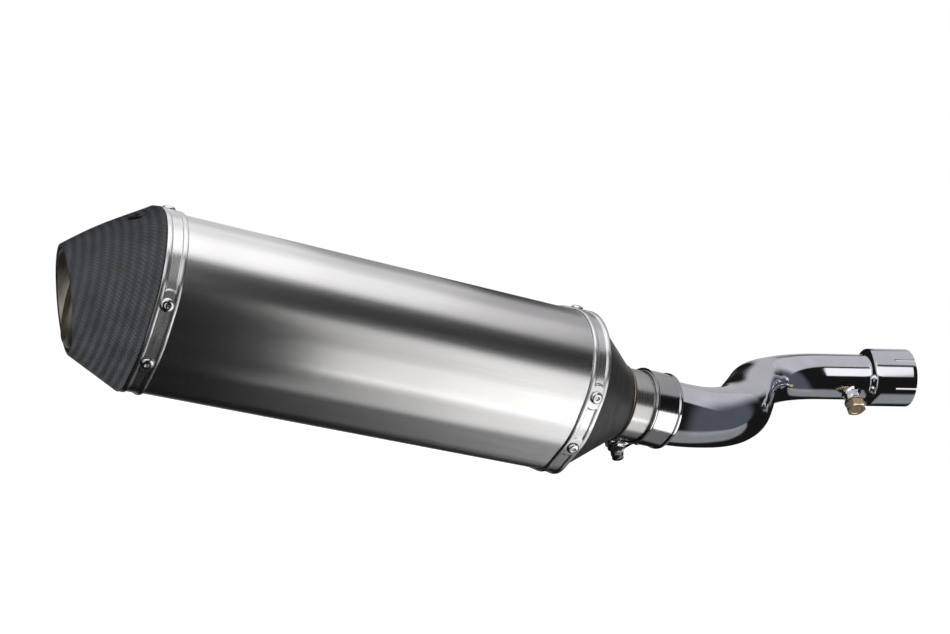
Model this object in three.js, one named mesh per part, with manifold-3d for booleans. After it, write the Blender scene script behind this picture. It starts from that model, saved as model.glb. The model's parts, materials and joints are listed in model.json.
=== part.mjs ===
// Slip-on motorcycle exhaust muffler with its link pipe, in millimetres, +Z up.
// The origin is the centre of the link pipe's mouth. The can lies along X, with its outlet towards -X.
// Stations along the can are measured from the front edge of its rear band, towards +X.
import * as THREE from "three";
import { mergeVertices } from "three/addons/utils/BufferGeometryUtils.js";
import Module from "manifold-3d";

const wasm = await Module();
wasm.setup();

// ---- Driving dimensions -------------------------------------------------------------------------------

const GAP = 0.3; // clearance between neighbouring pieces

// Can section: an egg-shaped outline wrapped round these arcs and their mirror images in Y.
const HALF_HEIGHT = 61.5;
const ARCS = [
  { radius: 50, offset: 10, height: HALF_HEIGHT - 50 },
  { radius: 56, offset: 0, height: -0.5 },
  { radius: 24, offset: 8.5, height: 24 - HALF_HEIGHT },
];
const SECTION_STEPS = 52;

const CAN_LENGTH = 305; // between the facing edges of the two bands
const BAND_WIDTH = 14.4;
const SHEET = 1.2; // sleeve and band sheet
const CARBON = 2.2; // wall of the end cap
const CAP_BULGE = 2.2; // how far the end cap swells past a straight taper, at its top
const CAP_SHOULDER = { stand: 1.9, width: 1.9 }; // level step of the end cap beside the rear band
const LIP_LENGTH = 9; // of the end cap and the inlet cone, inside the sleeve

// Rivets stand round each band where the section's outward normal has these angles from +Y.
const RIVET_ANGLES = [-139, -169.4, 90, -10.6, -41].map(THREE.MathUtils.degToRad);
const RIVET = { head: 4.4, dome: 2.1, shank: 2, length: 6.5 };

// Outlet: the end cap narrows to a round mouth below the can's axis, cut at a slant.
const OUTLET_X = -60.8;
const OUTLET_DROP = 11.4;
const OUTLET_RADIUS = 33; // outside of the outlet tube
const OUTLET_WALL = 1.5;
const SLASH = THREE.MathUtils.degToRad(16.4);
const OUTLET_TUBE_START = 14;

// Removable baffle inside the outlet tube.
const BAFFLE_RADIUS = 31;
const BAFFLE_THROAT = 17;
const BAFFLE_LENGTH = 62;
const BAFFLE_MOUTH_X = -56;
const SCREW_X = -30;
const SCREW_LEAN = THREE.MathUtils.degToRad(15); // from upright towards -Y, about the outlet's axis
const SCREW_RADIUS = 3;
const SCREW_HOLE = 5.2;

// Gas path inside the can.
const CORE_RADIUS = 25.4;
const CORE_WALL = 1.2;
const PLATE = 1.5;
const PACKING_CLEARANCE = 1.2;

// Inlet end.
const CONE_END = 362;
const SLEEVE_OUTER = 27.8;
const SLEEVE_INNER = 25.9;
const SLEEVE_START = 340;
const SLEEVE_END = 404;
const SLEEVE_SLOT = { width: 2, length: 20, count: 4, turn: Math.PI / 4 };

// Band clamp with a T-bolt round the inlet sleeve.
const CLAMP = { start: 382.5, end: 406, inner: 28.1, sheet: 0.9, split: 9 };
const CLAMP_ANGLE = THREE.MathUtils.degToRad(-38); // middle of the bolt, from the +Y side
const CLAMP_BOLT = { x: 386, reach: 39, radius: 3, trunnion: 4, width: 15, spread: 11 };

// Link pipe: straight spigot, two bends and a straight run to the mouth.
const SPIGOT = { start: 374, bend: 405, radius: 25.6 };
const NEAR_RADIUS = 24.3;
const FAR_RADIUS = 21.2;
const PIPE_WALL = 1.5;
const FIRST_BEND = 138;
const SECOND_BEND = 94;
const MIDDLE_RUN = 66;
const FAR_RUN = 84;
const MIDDLE_DIRECTION = heading(51.4, 13.8);
const FAR_DIRECTION = heading(-14.7, 11.6);
const PIPE_SIDES = 20;

// Expanded, slotted socket at the end of the link pipe.
const SOCKET = { length: 44, step: 6, radius: 26.9 };
const SOCKET_SLOT = { width: 1.6, length: 20, count: 6, turn: THREE.MathUtils.degToRad(47) };

// Threaded boss with a hexagon plug on the underside of the link pipe.
const PLUG_BACK = 59; // from the mouth
const PLUG_LEAN = THREE.MathUtils.degToRad(47); // from straight down towards -Y
const BOSS = { radius: 7.6, height: 8.6, sink: 1.2 };
const PLUG = { flat: 16, head: 8, washer: 8.8, washerHeight: 1.4, thread: 4.6 };

// ---- Materials ----------------------------------------------------------------------------------------

const titanium = standard(0xa9a7a5, 0.38, 1);
const stainless = standard(0xb9bbbd, 0.25, 1);
const polished = standard(0x9aa3ad, 0.12, 1);
const conesteel = standard(0x5d5c5a, 0.45, 1);
const carbon = standard(0x2b3035, 0.55, 0.1);
const innersteel = standard(0x77726c, 0.4, 1);
const blackSteel = standard(0x1c1c1e, 0.4, 0.9);
const brassPlug = standard(0x7d6347, 0.35, 1);
const glassWool = standard(0xd9cfa0, 0.95, 0);

function standard(color, roughness, metalness) {
  return new THREE.MeshStandardMaterial({ color, roughness, metalness });
}

// ---- Shape helpers ------------------------------------------------------------------------------------

// Unit vector at an angle round from +X towards +Y, raised by a second angle, both in degrees.
function heading(around, up) {
  const a = THREE.MathUtils.degToRad(around);
  const e = THREE.MathUtils.degToRad(up);
  return new THREE.Vector3(Math.cos(e) * Math.cos(a), Math.cos(e) * Math.sin(a), Math.sin(e));
}

// Point of the can section whose outward normal has this angle, moved out by grow.
function sectionPoint(angle, grow) {
  const y = Math.cos(angle);
  const z = Math.sin(angle);
  const side = Math.sign(y);
  const reach = (arc) => arc.offset * side * y + arc.height * z + arc.radius;
  const best = ARCS.reduce((far, arc) => (reach(arc) > reach(far) ? arc : far));
  return [best.offset * side + (best.radius + grow) * y, best.height + (best.radius + grow) * z];
}

// Closed ring of the can section in the plane at station x.
function sectionRing(x, grow) {
  return Array.from({ length: SECTION_STEPS }, (_, i) => {
    const [y, z] = sectionPoint(((i + 0.5) / SECTION_STEPS) * 2 * Math.PI, grow);
    return new THREE.Vector3(x, y, z);
  });
}

// Circle with the same number of points as a section ring, optionally leaning back at the top.
function roundRing(x, z, radius, lean = 0) {
  return Array.from({ length: SECTION_STEPS }, (_, i) => {
    const angle = ((i + 0.5) / SECTION_STEPS) * 2 * Math.PI;
    const up = radius * Math.sin(angle);
    return new THREE.Vector3(x - up * Math.tan(lean), radius * Math.cos(angle), z + up);
  });
}

// Ring between two rings of the end cap, swollen outwards: most at the top, nothing at the bottom.
function swollen(a, b, share) {
  return a.map((p, i) => {
    const angle = ((i + 0.5) / SECTION_STEPS) * 2 * Math.PI;
    const lift = CAP_BULGE * 2 * share * (1 - share) * (1 + Math.sin(angle));
    const outward = new THREE.Vector3(0, Math.cos(angle), Math.sin(angle));
    return p.clone().lerp(b[i], share).addScaledVector(outward, lift);
  });
}

// Wall between rings that follow one another and close on the first: a thick-walled sleeve.
function ringWall(rings) {
  const sides = rings[0].length;
  const points = rings.flat();
  const faces = [];
  rings.forEach((_, r) => {
    const next = (r + 1) % rings.length;
    for (let i = 0; i < sides; i++) {
      const j = (i + 1) % sides;
      faces.push(r * sides + i, r * sides + j, next * sides + j);
      faces.push(r * sides + i, next * sides + j, next * sides + i);
    }
  });
  return fromFaces(points, faces);
}

// Indexed geometry with its faces turned round if they enclose a negative volume.
function facingOut(geometry) {
  const corner = new THREE.Vector3();
  const index = Array.from(geometry.index.array);
  const points = index.map((i) => corner.fromBufferAttribute(geometry.attributes.position, i).clone());
  let volume = 0;
  for (let k = 0; k < points.length; k += 3) {
    volume += points[k].dot(points[k + 1].clone().cross(points[k + 2]));
  }
  if (volume < 0) geometry.setIndex(index.reverse());
  geometry.computeVertexNormals();
  return geometry;
}

function fromFaces(points, faces) {
  const geometry = new THREE.BufferGeometry().setFromPoints(points);
  geometry.setIndex(faces);
  return facingOut(geometry);
}

// Solid of revolution about X from [x, radius] pairs that close on themselves or end on the axis.
function turned(profile, sides) {
  const points = profile.map(([x, r]) => new THREE.Vector2(r, x));
  return facingOut(new THREE.LatheGeometry(points, sides).rotateZ(-Math.PI / 2));
}

// Closed tube profile for turned(): outside then inside, from lists of [x, radius].
function tubeProfile(outside, inside) {
  return [...outside, ...inside.reverse(), outside[0]];
}

function toSolid(geometry) {
  const bare = geometry.clone();
  bare.deleteAttribute("normal");
  bare.deleteAttribute("uv");
  const merged = mergeVertices(bare, 1e-3);
  const solid = new wasm.Manifold(
    new wasm.Mesh({
      numProp: 3,
      vertProperties: new Float32Array(merged.attributes.position.array),
      triVerts: new Uint32Array(merged.index.array),
    }),
  );
  return solid;
}

function toGeometry(solid) {
  const mesh = solid.getMesh();
  const geometry = new THREE.BufferGeometry();
  geometry.setAttribute("position", new THREE.BufferAttribute(mesh.vertProperties, 3));
  geometry.setIndex(new THREE.BufferAttribute(mesh.triVerts, 1));
  geometry.computeVertexNormals();
  return geometry;
}

function cut(geometry, cutters) {
  const solid = cutters.reduce((left, cutter) => left.subtract(toSolid(cutter)), toSolid(geometry));
  return toGeometry(solid);
}

function named(name, geometry, material) {
  const mesh = new THREE.Mesh(geometry, material);
  mesh.name = name;
  return mesh;
}

// Cylinder along X with its middle at x = 0.
function rod(radius, length, sides) {
  return new THREE.CylinderGeometry(radius, radius, length, sides).rotateZ(-Math.PI / 2);
}

// Place with its local +X along direction.
function aim(object, position, direction) {
  object.position.copy(position);
  object.quaternion.setFromUnitVectors(new THREE.Vector3(1, 0, 0), direction);
  return object;
}

// ---- Can ----------------------------------------------------------------------------------------------

const REAR_BAND_X = -BAND_WIDTH / 2;
const FRONT_BAND_X = CAN_LENGTH + BAND_WIDTH / 2;
const SLEEVE_REAR = -BAND_WIDTH + 3;
const SLEEVE_FRONT = CAN_LENGTH + BAND_WIDTH - 1;
const LIP = -SHEET - GAP; // outside of whatever slips inside the sleeve

// Where a rivet stands on the can section, and the way it points. On a flat it is the flat's middle.
function rivetSeat(angle, x, grow) {
  const nudge = 1e-3;
  const [before, after] = [sectionPoint(angle - nudge, grow), sectionPoint(angle + nudge, grow)];
  return {
    position: new THREE.Vector3(x, (before[0] + after[0]) / 2, (before[1] + after[1]) / 2),
    direction: new THREE.Vector3(0, Math.cos(angle), Math.sin(angle)),
  };
}

// Cutters for the rivet holes of the band at station x.
function rivetHoles(x) {
  return RIVET_ANGLES.map((angle) => {
    const seat = rivetSeat(angle, x, 0);
    const holder = aim(new THREE.Object3D(), seat.position, seat.direction);
    holder.updateMatrix();
    return rod(RIVET.shank + 2 * GAP, 4 * RIVET.length, 8).applyMatrix4(holder.matrix);
  });
}

function outerSleeve() {
  const outside = [sectionRing(SLEEVE_REAR, 0), sectionRing(SLEEVE_FRONT, 0)];
  const inside = [sectionRing(SLEEVE_FRONT, -SHEET), sectionRing(SLEEVE_REAR, -SHEET)];
  const wall = ringWall([...outside, ...inside]);
  const holes = [...rivetHoles(REAR_BAND_X), ...rivetHoles(FRONT_BAND_X)];
  return named("outer_sleeve", cut(wall, holes), titanium);
}

function band(name, x) {
  const [back, front] = [x - BAND_WIDTH / 2, x + BAND_WIDTH / 2];
  const wall = ringWall([
    sectionRing(back, GAP + SHEET),
    sectionRing(front, GAP + SHEET),
    sectionRing(front, GAP),
    sectionRing(back, GAP),
  ]);
  return named(name, cut(wall, rivetHoles(x)), stainless);
}

// Domed rivet with its shank pointing to local -X.
function rivetShape() {
  const { head, dome, shank, length } = RIVET;
  const profile = [
    [-length, 0],
    [-length, shank],
    [0, shank],
    [0, head],
    [0.5 * dome, 0.9 * head],
    [dome, 0.4 * head],
    [dome, 0],
  ];
  return turned(profile, 10);
}

function rivets(prefix, x) {
  return RIVET_ANGLES.map((angle, i) => {
    const seat = rivetSeat(angle, x, 2 * GAP + SHEET);
    return aim(named(prefix + "_rivet_" + (i + 1), rivetShape(), stainless), seat.position, seat.direction);
  });
}

// ---- Outlet end ---------------------------------------------------------------------------------------

// The end cap: a lip inside the sleeve, then a skin from the can section to the slanted round mouth.
// Turns upright work for the baffle's screw to the screw's lean.
function leant(geometry) {
  return geometry.translate(0, 0, OUTLET_DROP).rotateX(SCREW_LEAN).translate(0, 0, -OUTLET_DROP);
}

function endCap() {
  const skin = (start, radius) => {
    const end = roundRing(OUTLET_X, -OUTLET_DROP, radius, SLASH);
    return [start, ...[0.25, 0.5, 0.75].map((share) => swollen(start, end, share)), end];
  };
  const inner = OUTLET_RADIUS + GAP;
  const lipEnd = SLEEVE_REAR + LIP_LENGTH;
  const underBand = SLEEVE_REAR - GAP;
  const edge = -BAND_WIDTH - GAP;
  const { stand, width } = CAP_SHOULDER;
  const lip = [[lipEnd, LIP], [underBand, LIP], [underBand, 0], [edge, 0], [edge, stand]];
  const outside = [
    ...lip.map((at) => sectionRing(...at)),
    ...skin(sectionRing(edge - width, stand), inner + CARBON),
  ];
  const inside = [
    ...skin(sectionRing(edge, LIP), inner).reverse(),
    ...[[underBand, LIP - CARBON], [lipEnd, LIP - CARBON]].map((at) => sectionRing(...at)),
  ];
  const wall = ringWall([...outside, ...inside]);
  const access = leant(rod(SCREW_HOLE, 60, 16).rotateY(Math.PI / 2).translate(SCREW_X, 0, 55));
  return named("carbon_end_cap", cut(wall, [...rivetHoles(REAR_BAND_X), access]), carbon);
}

function outletTube() {
  const ring = (radius) => roundRing(OUTLET_X, -OUTLET_DROP, radius, SLASH);
  const start = (radius) => roundRing(OUTLET_TUBE_START, -OUTLET_DROP, radius);
  const inner = OUTLET_RADIUS - OUTLET_WALL;
  const wall = ringWall([start(OUTLET_RADIUS), ring(OUTLET_RADIUS), ring(inner), start(inner)]);
  const hole = rod(SCREW_RADIUS + GAP, 20, 12).rotateY(Math.PI / 2);
  hole.translate(SCREW_X, 0, OUTLET_RADIUS - OUTLET_DROP);
  return named("outlet_tube", cut(wall, [leant(hole)]), innersteel);
}

// Threaded boss on top of the outlet tube for the screw that holds the baffle.
function screwBoss() {
  const base = OUTLET_RADIUS - OUTLET_DROP + 1;
  const profile = tubeProfile(
    [[base, 6.5], [base + 7, 6.5]],
    [[base, SCREW_RADIUS + 0.1], [base + 7, SCREW_RADIUS + 0.1]],
  );
  const boss = leant(turned(profile, 16).rotateY(-Math.PI / 2).translate(SCREW_X, 0, 0));
  return named("baffle_screw_boss", boss, innersteel);
}

// Socket-head screw; its tip stops just short of the baffle.
function baffleScrew() {
  const tip = OUTLET_RADIUS - OUTLET_DROP - OUTLET_WALL + 0.1;
  const seat = OUTLET_RADIUS - OUTLET_DROP + 8 + GAP;
  const top = seat + 5.5;
  const profile = [
    [tip, 0],
    [tip, SCREW_RADIUS],
    [seat, SCREW_RADIUS],
    [seat, 4.8],
    [top, 4.8],
    [top, 2.4],
    [top - 3, 2.4],
    [top - 3, 0],
  ];
  const screw = leant(turned(profile, 16).rotateY(-Math.PI / 2).translate(SCREW_X, 0, 0));
  return named("baffle_screw", screw, blackSteel);
}

// Funnel insert that narrows the outlet; it slides out of the outlet tube along -X.
function baffle() {
  const back = BAFFLE_MOUTH_X;
  const front = back + BAFFLE_LENGTH;
  const wall = 1.2;
  const outside = [
    [back, BAFFLE_RADIUS - 4],
    [back + 3, BAFFLE_RADIUS],
    [back + 34, BAFFLE_RADIUS],
    [back + 46, BAFFLE_THROAT],
    [front, BAFFLE_THROAT],
  ];
  const inside = outside.map(([x, r]) => [x, r - wall]);
  const geometry = turned(tubeProfile(outside, inside), 24).translate(0, 0, -OUTLET_DROP);
  return named("baffle", geometry, innersteel);
}

// ---- Inside the can -----------------------------------------------------------------------------------

const REAR_PLATE_X = 0.8;
const FRONT_PLATE_X = 303;

// Flat plate across the inside of the sleeve with one round hole.
function plate(name, x, holeZ, holeRadius) {
  const wall = ringWall([
    sectionRing(x, LIP),
    sectionRing(x + PLATE, LIP),
    roundRing(x + PLATE, holeZ, holeRadius),
    roundRing(x, holeZ, holeRadius),
  ]);
  return named(name, wall, innersteel);
}

// Perforated core: a slightly sloping tube from the inlet to the outlet tube.
function perforatedCore() {
  const start = new THREE.Vector3(OUTLET_TUBE_START + 2, 0, -OUTLET_DROP);
  const end = new THREE.Vector3(SLEEVE_START - 1, 0, 0);
  const length = start.distanceTo(end);
  const profile = tubeProfile(
    [[0, CORE_RADIUS], [length, CORE_RADIUS]],
    [[0, CORE_RADIUS - CORE_WALL], [length, CORE_RADIUS - CORE_WALL]],
  );
  const tube = turned(profile, 24);
  const rows = 5;
  const holes = [];
  for (let row = 0; row < rows; row++) {
    const x = (length * (row + 1)) / (rows + 1);
    for (let half = 0; half < 2; half++) {
      const turn = half * Math.PI / 2 + (row % 2) * Math.PI / 4;
      holes.push(rod(3, 4 * CORE_RADIUS, 6).rotateZ(Math.PI / 2).rotateX(turn).translate(x, 0, 0));
    }
  }
  const mesh = named("perforated_core", cut(tube, holes), innersteel);
  return aim(mesh, start, end.clone().sub(start).normalize());
}

// Glass-wool packing that fills the space between the core and the sleeve.
function packing() {
  const back = REAR_PLATE_X + PLATE + OUTLET_TUBE_START;
  const front = FRONT_PLATE_X - 2 * GAP;
  const hole = CORE_RADIUS + PACKING_CLEARANCE + 1;
  const centre = (x) => -OUTLET_DROP * (1 - (x - OUTLET_TUBE_START) / (SLEEVE_START - OUTLET_TUBE_START));
  const wall = ringWall([
    sectionRing(back, LIP - GAP),
    sectionRing(front, LIP - GAP),
    roundRing(front, centre(front), hole),
    roundRing(back, centre(back), hole),
  ]);
  return named("packing", wall, glassWool);
}

// ---- Inlet end ----------------------------------------------------------------------------------------

function inletCone() {
  const wall = 1.5;
  const lipStart = SLEEVE_FRONT - LIP_LENGTH;
  const base = SLEEVE_FRONT + 0.5;
  const end = SLEEVE_OUTER + GAP + wall;
  const rings = ringWall([
    sectionRing(lipStart, LIP),
    sectionRing(base, LIP),
    roundRing(CONE_END, 0, end),
    roundRing(CONE_END, 0, end - wall),
    sectionRing(base - 1, LIP - wall),
    sectionRing(lipStart, LIP - wall),
  ]);
  return named("inlet_cone", cut(rings, rivetHoles(FRONT_BAND_X)), conesteel);
}

// Rounded weld bead where the cone meets the inlet sleeve.
function coneWeld() {
  const start = CONE_END + GAP;
  const inner = SLEEVE_OUTER + GAP;
  const profile = [
    [start, inner],
    [start, inner + 1.6],
    [start + 1.2, inner + 2],
    [start + 2.6, inner + 1.2],
    [start + 3.2, inner],
    [start, inner],
  ];
  return named("cone_weld_bead", turned(profile, 30), conesteel);
}

// Slots sawn into the open end of a round sleeve, as cutters that pass through both sides.
function slotCutters(endX, slot, radius) {
  return Array.from({ length: slot.count / 2 }, (_, i) => {
    const box = new THREE.BoxGeometry(2 * slot.length, slot.width, 4 * radius);
    return box.rotateX(slot.turn + (i * 2 * Math.PI) / slot.count).translate(endX, 0, 0);
  });
}

function inletSleeve() {
  const profile = tubeProfile(
    [[SLEEVE_START, SLEEVE_OUTER], [SLEEVE_END, SLEEVE_OUTER]],
    [[SLEEVE_START, SLEEVE_INNER], [SLEEVE_END, SLEEVE_INNER]],
  );
  const tube = turned(profile, 36);
  return named("inlet_sleeve", cut(tube, slotCutters(SLEEVE_END, SLEEVE_SLOT, SLEEVE_OUTER)), stainless);
}

// ---- Clamp --------------------------------------------------------------------------------------------

const CLAMP_TANGENT = new THREE.Vector3(0, Math.sin(CLAMP_ANGLE), -Math.cos(CLAMP_ANGLE));

// Point of the clamp at a distance along the bolt and out from the can's axis.
function clampPoint(x, along, out) {
  const outward = new THREE.Vector3(0, Math.cos(CLAMP_ANGLE), Math.sin(CLAMP_ANGLE));
  return outward.multiplyScalar(out).addScaledVector(CLAMP_TANGENT, along).setX(x);
}

// Open band round the sleeve, with rolled edges and its gap under the T-bolt.
function clampBand() {
  const { start, end, inner, sheet, split } = CLAMP;
  const outer = inner + sheet;
  const bead = 0.7;
  const profile = tubeProfile(
    [[start, outer + bead], [start + 1.6, outer + bead], [start + 2.2, outer],
      [end - 2.2, outer], [end - 1.6, outer + bead], [end, outer + bead]],
    [[start, inner], [end, inner]],
  );
  const gap = new THREE.BoxGeometry(2 * (end - start), 2 * outer, split);
  gap.translate((start + end) / 2, outer, 0).rotateX(CLAMP_ANGLE);
  return named("clamp_band", cut(turned(profile, 36), [gap]), polished);
}

// Saddle that bridges the gap of the band, inside the T-bolt.
function clampBridge() {
  const inner = CLAMP.inner + CLAMP.sheet + 1;
  const length = 13;
  const steps = 6;
  const spread = 0.42;
  const ring = (radius, x) => Array.from({ length: steps + 1 }, (_, i) => {
    const angle = CLAMP_ANGLE + spread * ((2 * i) / steps - 1);
    return new THREE.Vector3(x, radius * Math.cos(angle), radius * Math.sin(angle));
  });
  const outline = (x) => [...ring(inner + 0.8, x), ...ring(inner, x).reverse()];
  const ends = [CLAMP_BOLT.x - length / 2, CLAMP_BOLT.x + length / 2];
  return named("clamp_bridge", prism(outline(ends[0]), outline(ends[1])), stainless);
}

// Straight bar between two matching outlines whose first and second halves face each other.
function prism(a, b) {
  const count = a.length;
  const faces = [];
  for (let i = 0; i < count; i++) {
    const j = (i + 1) % count;
    faces.push(i, j, count + j, i, count + j, count + i);
  }
  for (let i = 0; i < count / 2 - 1; i++) {
    const [p, q, r, s] = [i, i + 1, count - 2 - i, count - 1 - i];
    faces.push(p, r, q, p, s, r, count + p, count + q, count + r, count + p, count + r, count + s);
  }
  return fromFaces([...a, ...b], faces);
}

// Cross pin that one end of the band wraps round, drilled for the bolt.
function trunnion(name, along) {
  const { x, reach, trunnion: radius, width, radius: bolt } = CLAMP_BOLT;
  const pin = rod(radius, width, 16);
  const hole = rod(bolt + GAP, 4 * radius, 12).rotateY(Math.PI / 2);
  const mesh = named(name, cut(pin, [hole]), stainless);
  mesh.position.copy(clampPoint(x, along, reach));
  mesh.rotation.x = CLAMP_ANGLE;
  return mesh;
}

// Bolt with a cross head behind the first trunnion and its thread through the second.
function clampBolt() {
  const { radius, spread, trunnion: pin } = CLAMP_BOLT;
  const head = -spread - pin - GAP;
  const profile = [
    [head - 3.5, 0],
    [head - 3.5, 5],
    [head, 5],
    [head, radius],
    [spread + 15, radius],
    [spread + 15, 0],
  ];
  return onBolt(named("clamp_t_bolt", turned(profile, 16), stainless));
}

// Flanged locknut on the thread.
function clampNut() {
  const { radius, spread, trunnion: pin } = CLAMP_BOLT;
  const seat = spread + pin + GAP;
  const disc = (from, to, size, sides) => turned([[from, 0], [from, size], [to, size], [to, 0]], sides);
  const body = toSolid(disc(seat, seat + 1.5, 7.2, 20)).add(toSolid(disc(seat + 1, seat + 8, 5.8, 6)));
  const bore = rod(radius + GAP, 60, 12);
  return onBolt(named("clamp_nut", cut(toGeometry(body), [bore]), stainless));
}

function onBolt(mesh) {
  return aim(mesh, clampPoint(CLAMP_BOLT.x, 0, CLAMP_BOLT.reach), CLAMP_TANGENT);
}

// ---- Link pipe ----------------------------------------------------------------------------------------

// Bend as a curve: starts at a point, turns from one direction to another with a centreline radius.
class Bend extends THREE.Curve {
  constructor(start, from, to, radius) {
    super();
    this.start = start;
    this.from = from;
    this.side = to.clone().addScaledVector(from, -from.dot(to)).normalize();
    this.angle = from.angleTo(to);
    this.radius = radius;
  }

  getPoint(t, target = new THREE.Vector3()) {
    const turn = this.angle * t;
    target.copy(this.start).addScaledVector(this.from, this.radius * Math.sin(turn));
    return target.addScaledVector(this.side, this.radius * (1 - Math.cos(turn)));
  }
}

// The link pipe's centreline from the spigot inside the inlet sleeve to the mouth.
function linkRoute() {
  const ahead = new THREE.Vector3(1, 0, 0);
  const spigot = new THREE.Vector3(SPIGOT.start, 0, 0);
  const bendStart = new THREE.Vector3(SPIGOT.bend, 0, 0);
  const first = new Bend(bendStart, ahead, MIDDLE_DIRECTION, FIRST_BEND);
  const middleStart = first.getPoint(1);
  const middleEnd = middleStart.clone().addScaledVector(MIDDLE_DIRECTION, MIDDLE_RUN);
  const second = new Bend(middleEnd, MIDDLE_DIRECTION, FAR_DIRECTION, SECOND_BEND);
  const farStart = second.getPoint(1);
  const mouth = farStart.clone().addScaledVector(FAR_DIRECTION, FAR_RUN);
  return { spigot, bendStart, first, middleStart, middleEnd, second, farStart, mouth };
}

const ROUTE = linkRoute();

// Centreline stations of the pipe as [point, direction, radius], ending in the expanded socket.
function pipeStations() {
  const stations = [[ROUTE.spigot, new THREE.Vector3(1, 0, 0), SPIGOT.radius]];
  const alongBend = (bend, steps, radiusAt) => {
    for (let i = 0; i <= steps; i++) {
      const t = i / steps;
      stations.push([bend.getPoint(t), bend.getTangent(t), radiusAt(t)]);
    }
  };
  alongBend(ROUTE.first, 9, (t) => THREE.MathUtils.lerp(SPIGOT.radius, NEAR_RADIUS, Math.min(1, 2.5 * t)));
  const halfway = (NEAR_RADIUS + FAR_RADIUS) / 2;
  alongBend(ROUTE.second, 11, (t) => THREE.MathUtils.lerp(halfway, FAR_RADIUS, Math.min(1, 2 * t)));
  const beforeMouth = (back) => ROUTE.mouth.clone().addScaledVector(FAR_DIRECTION, -back);
  stations.push([beforeMouth(SOCKET.length), FAR_DIRECTION, FAR_RADIUS]);
  stations.push([beforeMouth(SOCKET.length - SOCKET.step), FAR_DIRECTION, SOCKET.radius]);
  stations.push([ROUTE.mouth, FAR_DIRECTION, SOCKET.radius]);
  return stations;
}

// Circle round a station, turned so that neighbouring circles don't twist.
function stationRing([point, direction, radius], shrink) {
  const across = new THREE.Vector3(0, 0, 1).cross(direction).normalize();
  const up = direction.clone().cross(across);
  return Array.from({ length: PIPE_SIDES }, (_, i) => {
    const angle = (i / PIPE_SIDES) * 2 * Math.PI;
    const ray = across.clone().multiplyScalar(Math.cos(angle)).addScaledVector(up, Math.sin(angle));
    return point.clone().addScaledVector(ray, radius - shrink);
  });
}

function linkPipe() {
  const stations = pipeStations();
  const outside = stations.map((station) => stationRing(station, 0));
  const inside = stations.map((station) => stationRing(station, PIPE_WALL)).reverse();
  const place = aim(new THREE.Object3D(), ROUTE.mouth, FAR_DIRECTION);
  place.updateMatrix();
  const slots = slotCutters(0, SOCKET_SLOT, SOCKET.radius).map((slot) => slot.applyMatrix4(place.matrix));
  return named("link_pipe", cut(ringWall([...outside, ...inside]), slots), polished);
}

// Group whose local +X points out of the link pipe along the plug's axis, with x = 0 on the pipe's axis.
function plugFrame() {
  const lean = new THREE.Vector3(0, -Math.sin(PLUG_LEAN), -Math.cos(PLUG_LEAN));
  const out = lean.addScaledVector(FAR_DIRECTION, -lean.dot(FAR_DIRECTION)).normalize();
  const centre = ROUTE.mouth.clone().addScaledVector(FAR_DIRECTION, -PLUG_BACK);
  return aim(new THREE.Group(), centre, out);
}

function plugParts() {
  const base = FAR_RADIUS + BOSS.sink;
  const top = FAR_RADIUS + BOSS.height;
  const bore = PLUG.thread + 0.1;
  const ring = (from, to, radius) => {
    return turned(tubeProfile([[from, radius], [to, radius]], [[from, bore], [to, bore]]), 24);
  };
  const boss = ring(base, top, BOSS.radius);
  const washerTop = top + GAP + PLUG.washerHeight;
  const washer = ring(top + GAP, washerTop, PLUG.washer);
  const headBase = washerTop + GAP;
  const corner = PLUG.flat / Math.sqrt(3);
  const tip = base - 0.6;
  const root = headBase + 1;
  const thread = turned([[tip, 0], [tip, PLUG.thread], [root, PLUG.thread], [root, 0]], 18);
  const head = turned(
    [
      [headBase, 0],
      [headBase, corner],
      [headBase + PLUG.head - 1, corner],
      [headBase + PLUG.head, corner - 1.4],
      [headBase + PLUG.head, 0],
    ],
    6,
  );
  const plug = toGeometry(toSolid(thread).add(toSolid(head)));
  return [
    named("plug_boss", boss, polished),
    named("plug_washer", washer, brassPlug),
    named("hex_plug", plug, brassPlug),
  ];
}

// ---- Assembly -----------------------------------------------------------------------------------------

function buildMuffler() {
  const muffler = new THREE.Group();
  muffler.position.copy(ROUTE.mouth).negate();
  muffler.add(outerSleeve());
  muffler.add(band("rear_band", REAR_BAND_X), band("front_band", FRONT_BAND_X));
  muffler.add(...rivets("rear", REAR_BAND_X), ...rivets("front", FRONT_BAND_X));
  muffler.add(endCap(), outletTube(), screwBoss(), baffleScrew(), baffle());
  muffler.add(plate("rear_plate", REAR_PLATE_X, -OUTLET_DROP, OUTLET_RADIUS + GAP));
  muffler.add(plate("front_plate", FRONT_PLATE_X, -1.2, CORE_RADIUS + 2));
  muffler.add(perforatedCore(), packing());
  muffler.add(inletCone(), coneWeld(), inletSleeve());
  muffler.add(clampBand(), clampBridge(), clampBolt(), clampNut());
  muffler.add(trunnion("clamp_trunnion_head", -CLAMP_BOLT.spread));
  muffler.add(trunnion("clamp_trunnion_nut", CLAMP_BOLT.spread));
  muffler.add(linkPipe());
  const plug = plugFrame();
  plug.add(...plugParts());
  muffler.add(plug);
  const object = new THREE.Group();
  object.add(muffler);
  return object;
}

export default buildMuffler();
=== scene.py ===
"""Looks of the exhaust muffler: detailed meshes, materials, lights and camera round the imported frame.

Everything is in metres. Shapes are laid out in the can's own frame, whose X runs along the can towards
the link pipe, with x = 0 at the front edge of the rear band; to_row() carries it into the row frame.
"""

import json
import math

import bmesh
import bpy
from mathutils import Matrix, Vector

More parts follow.
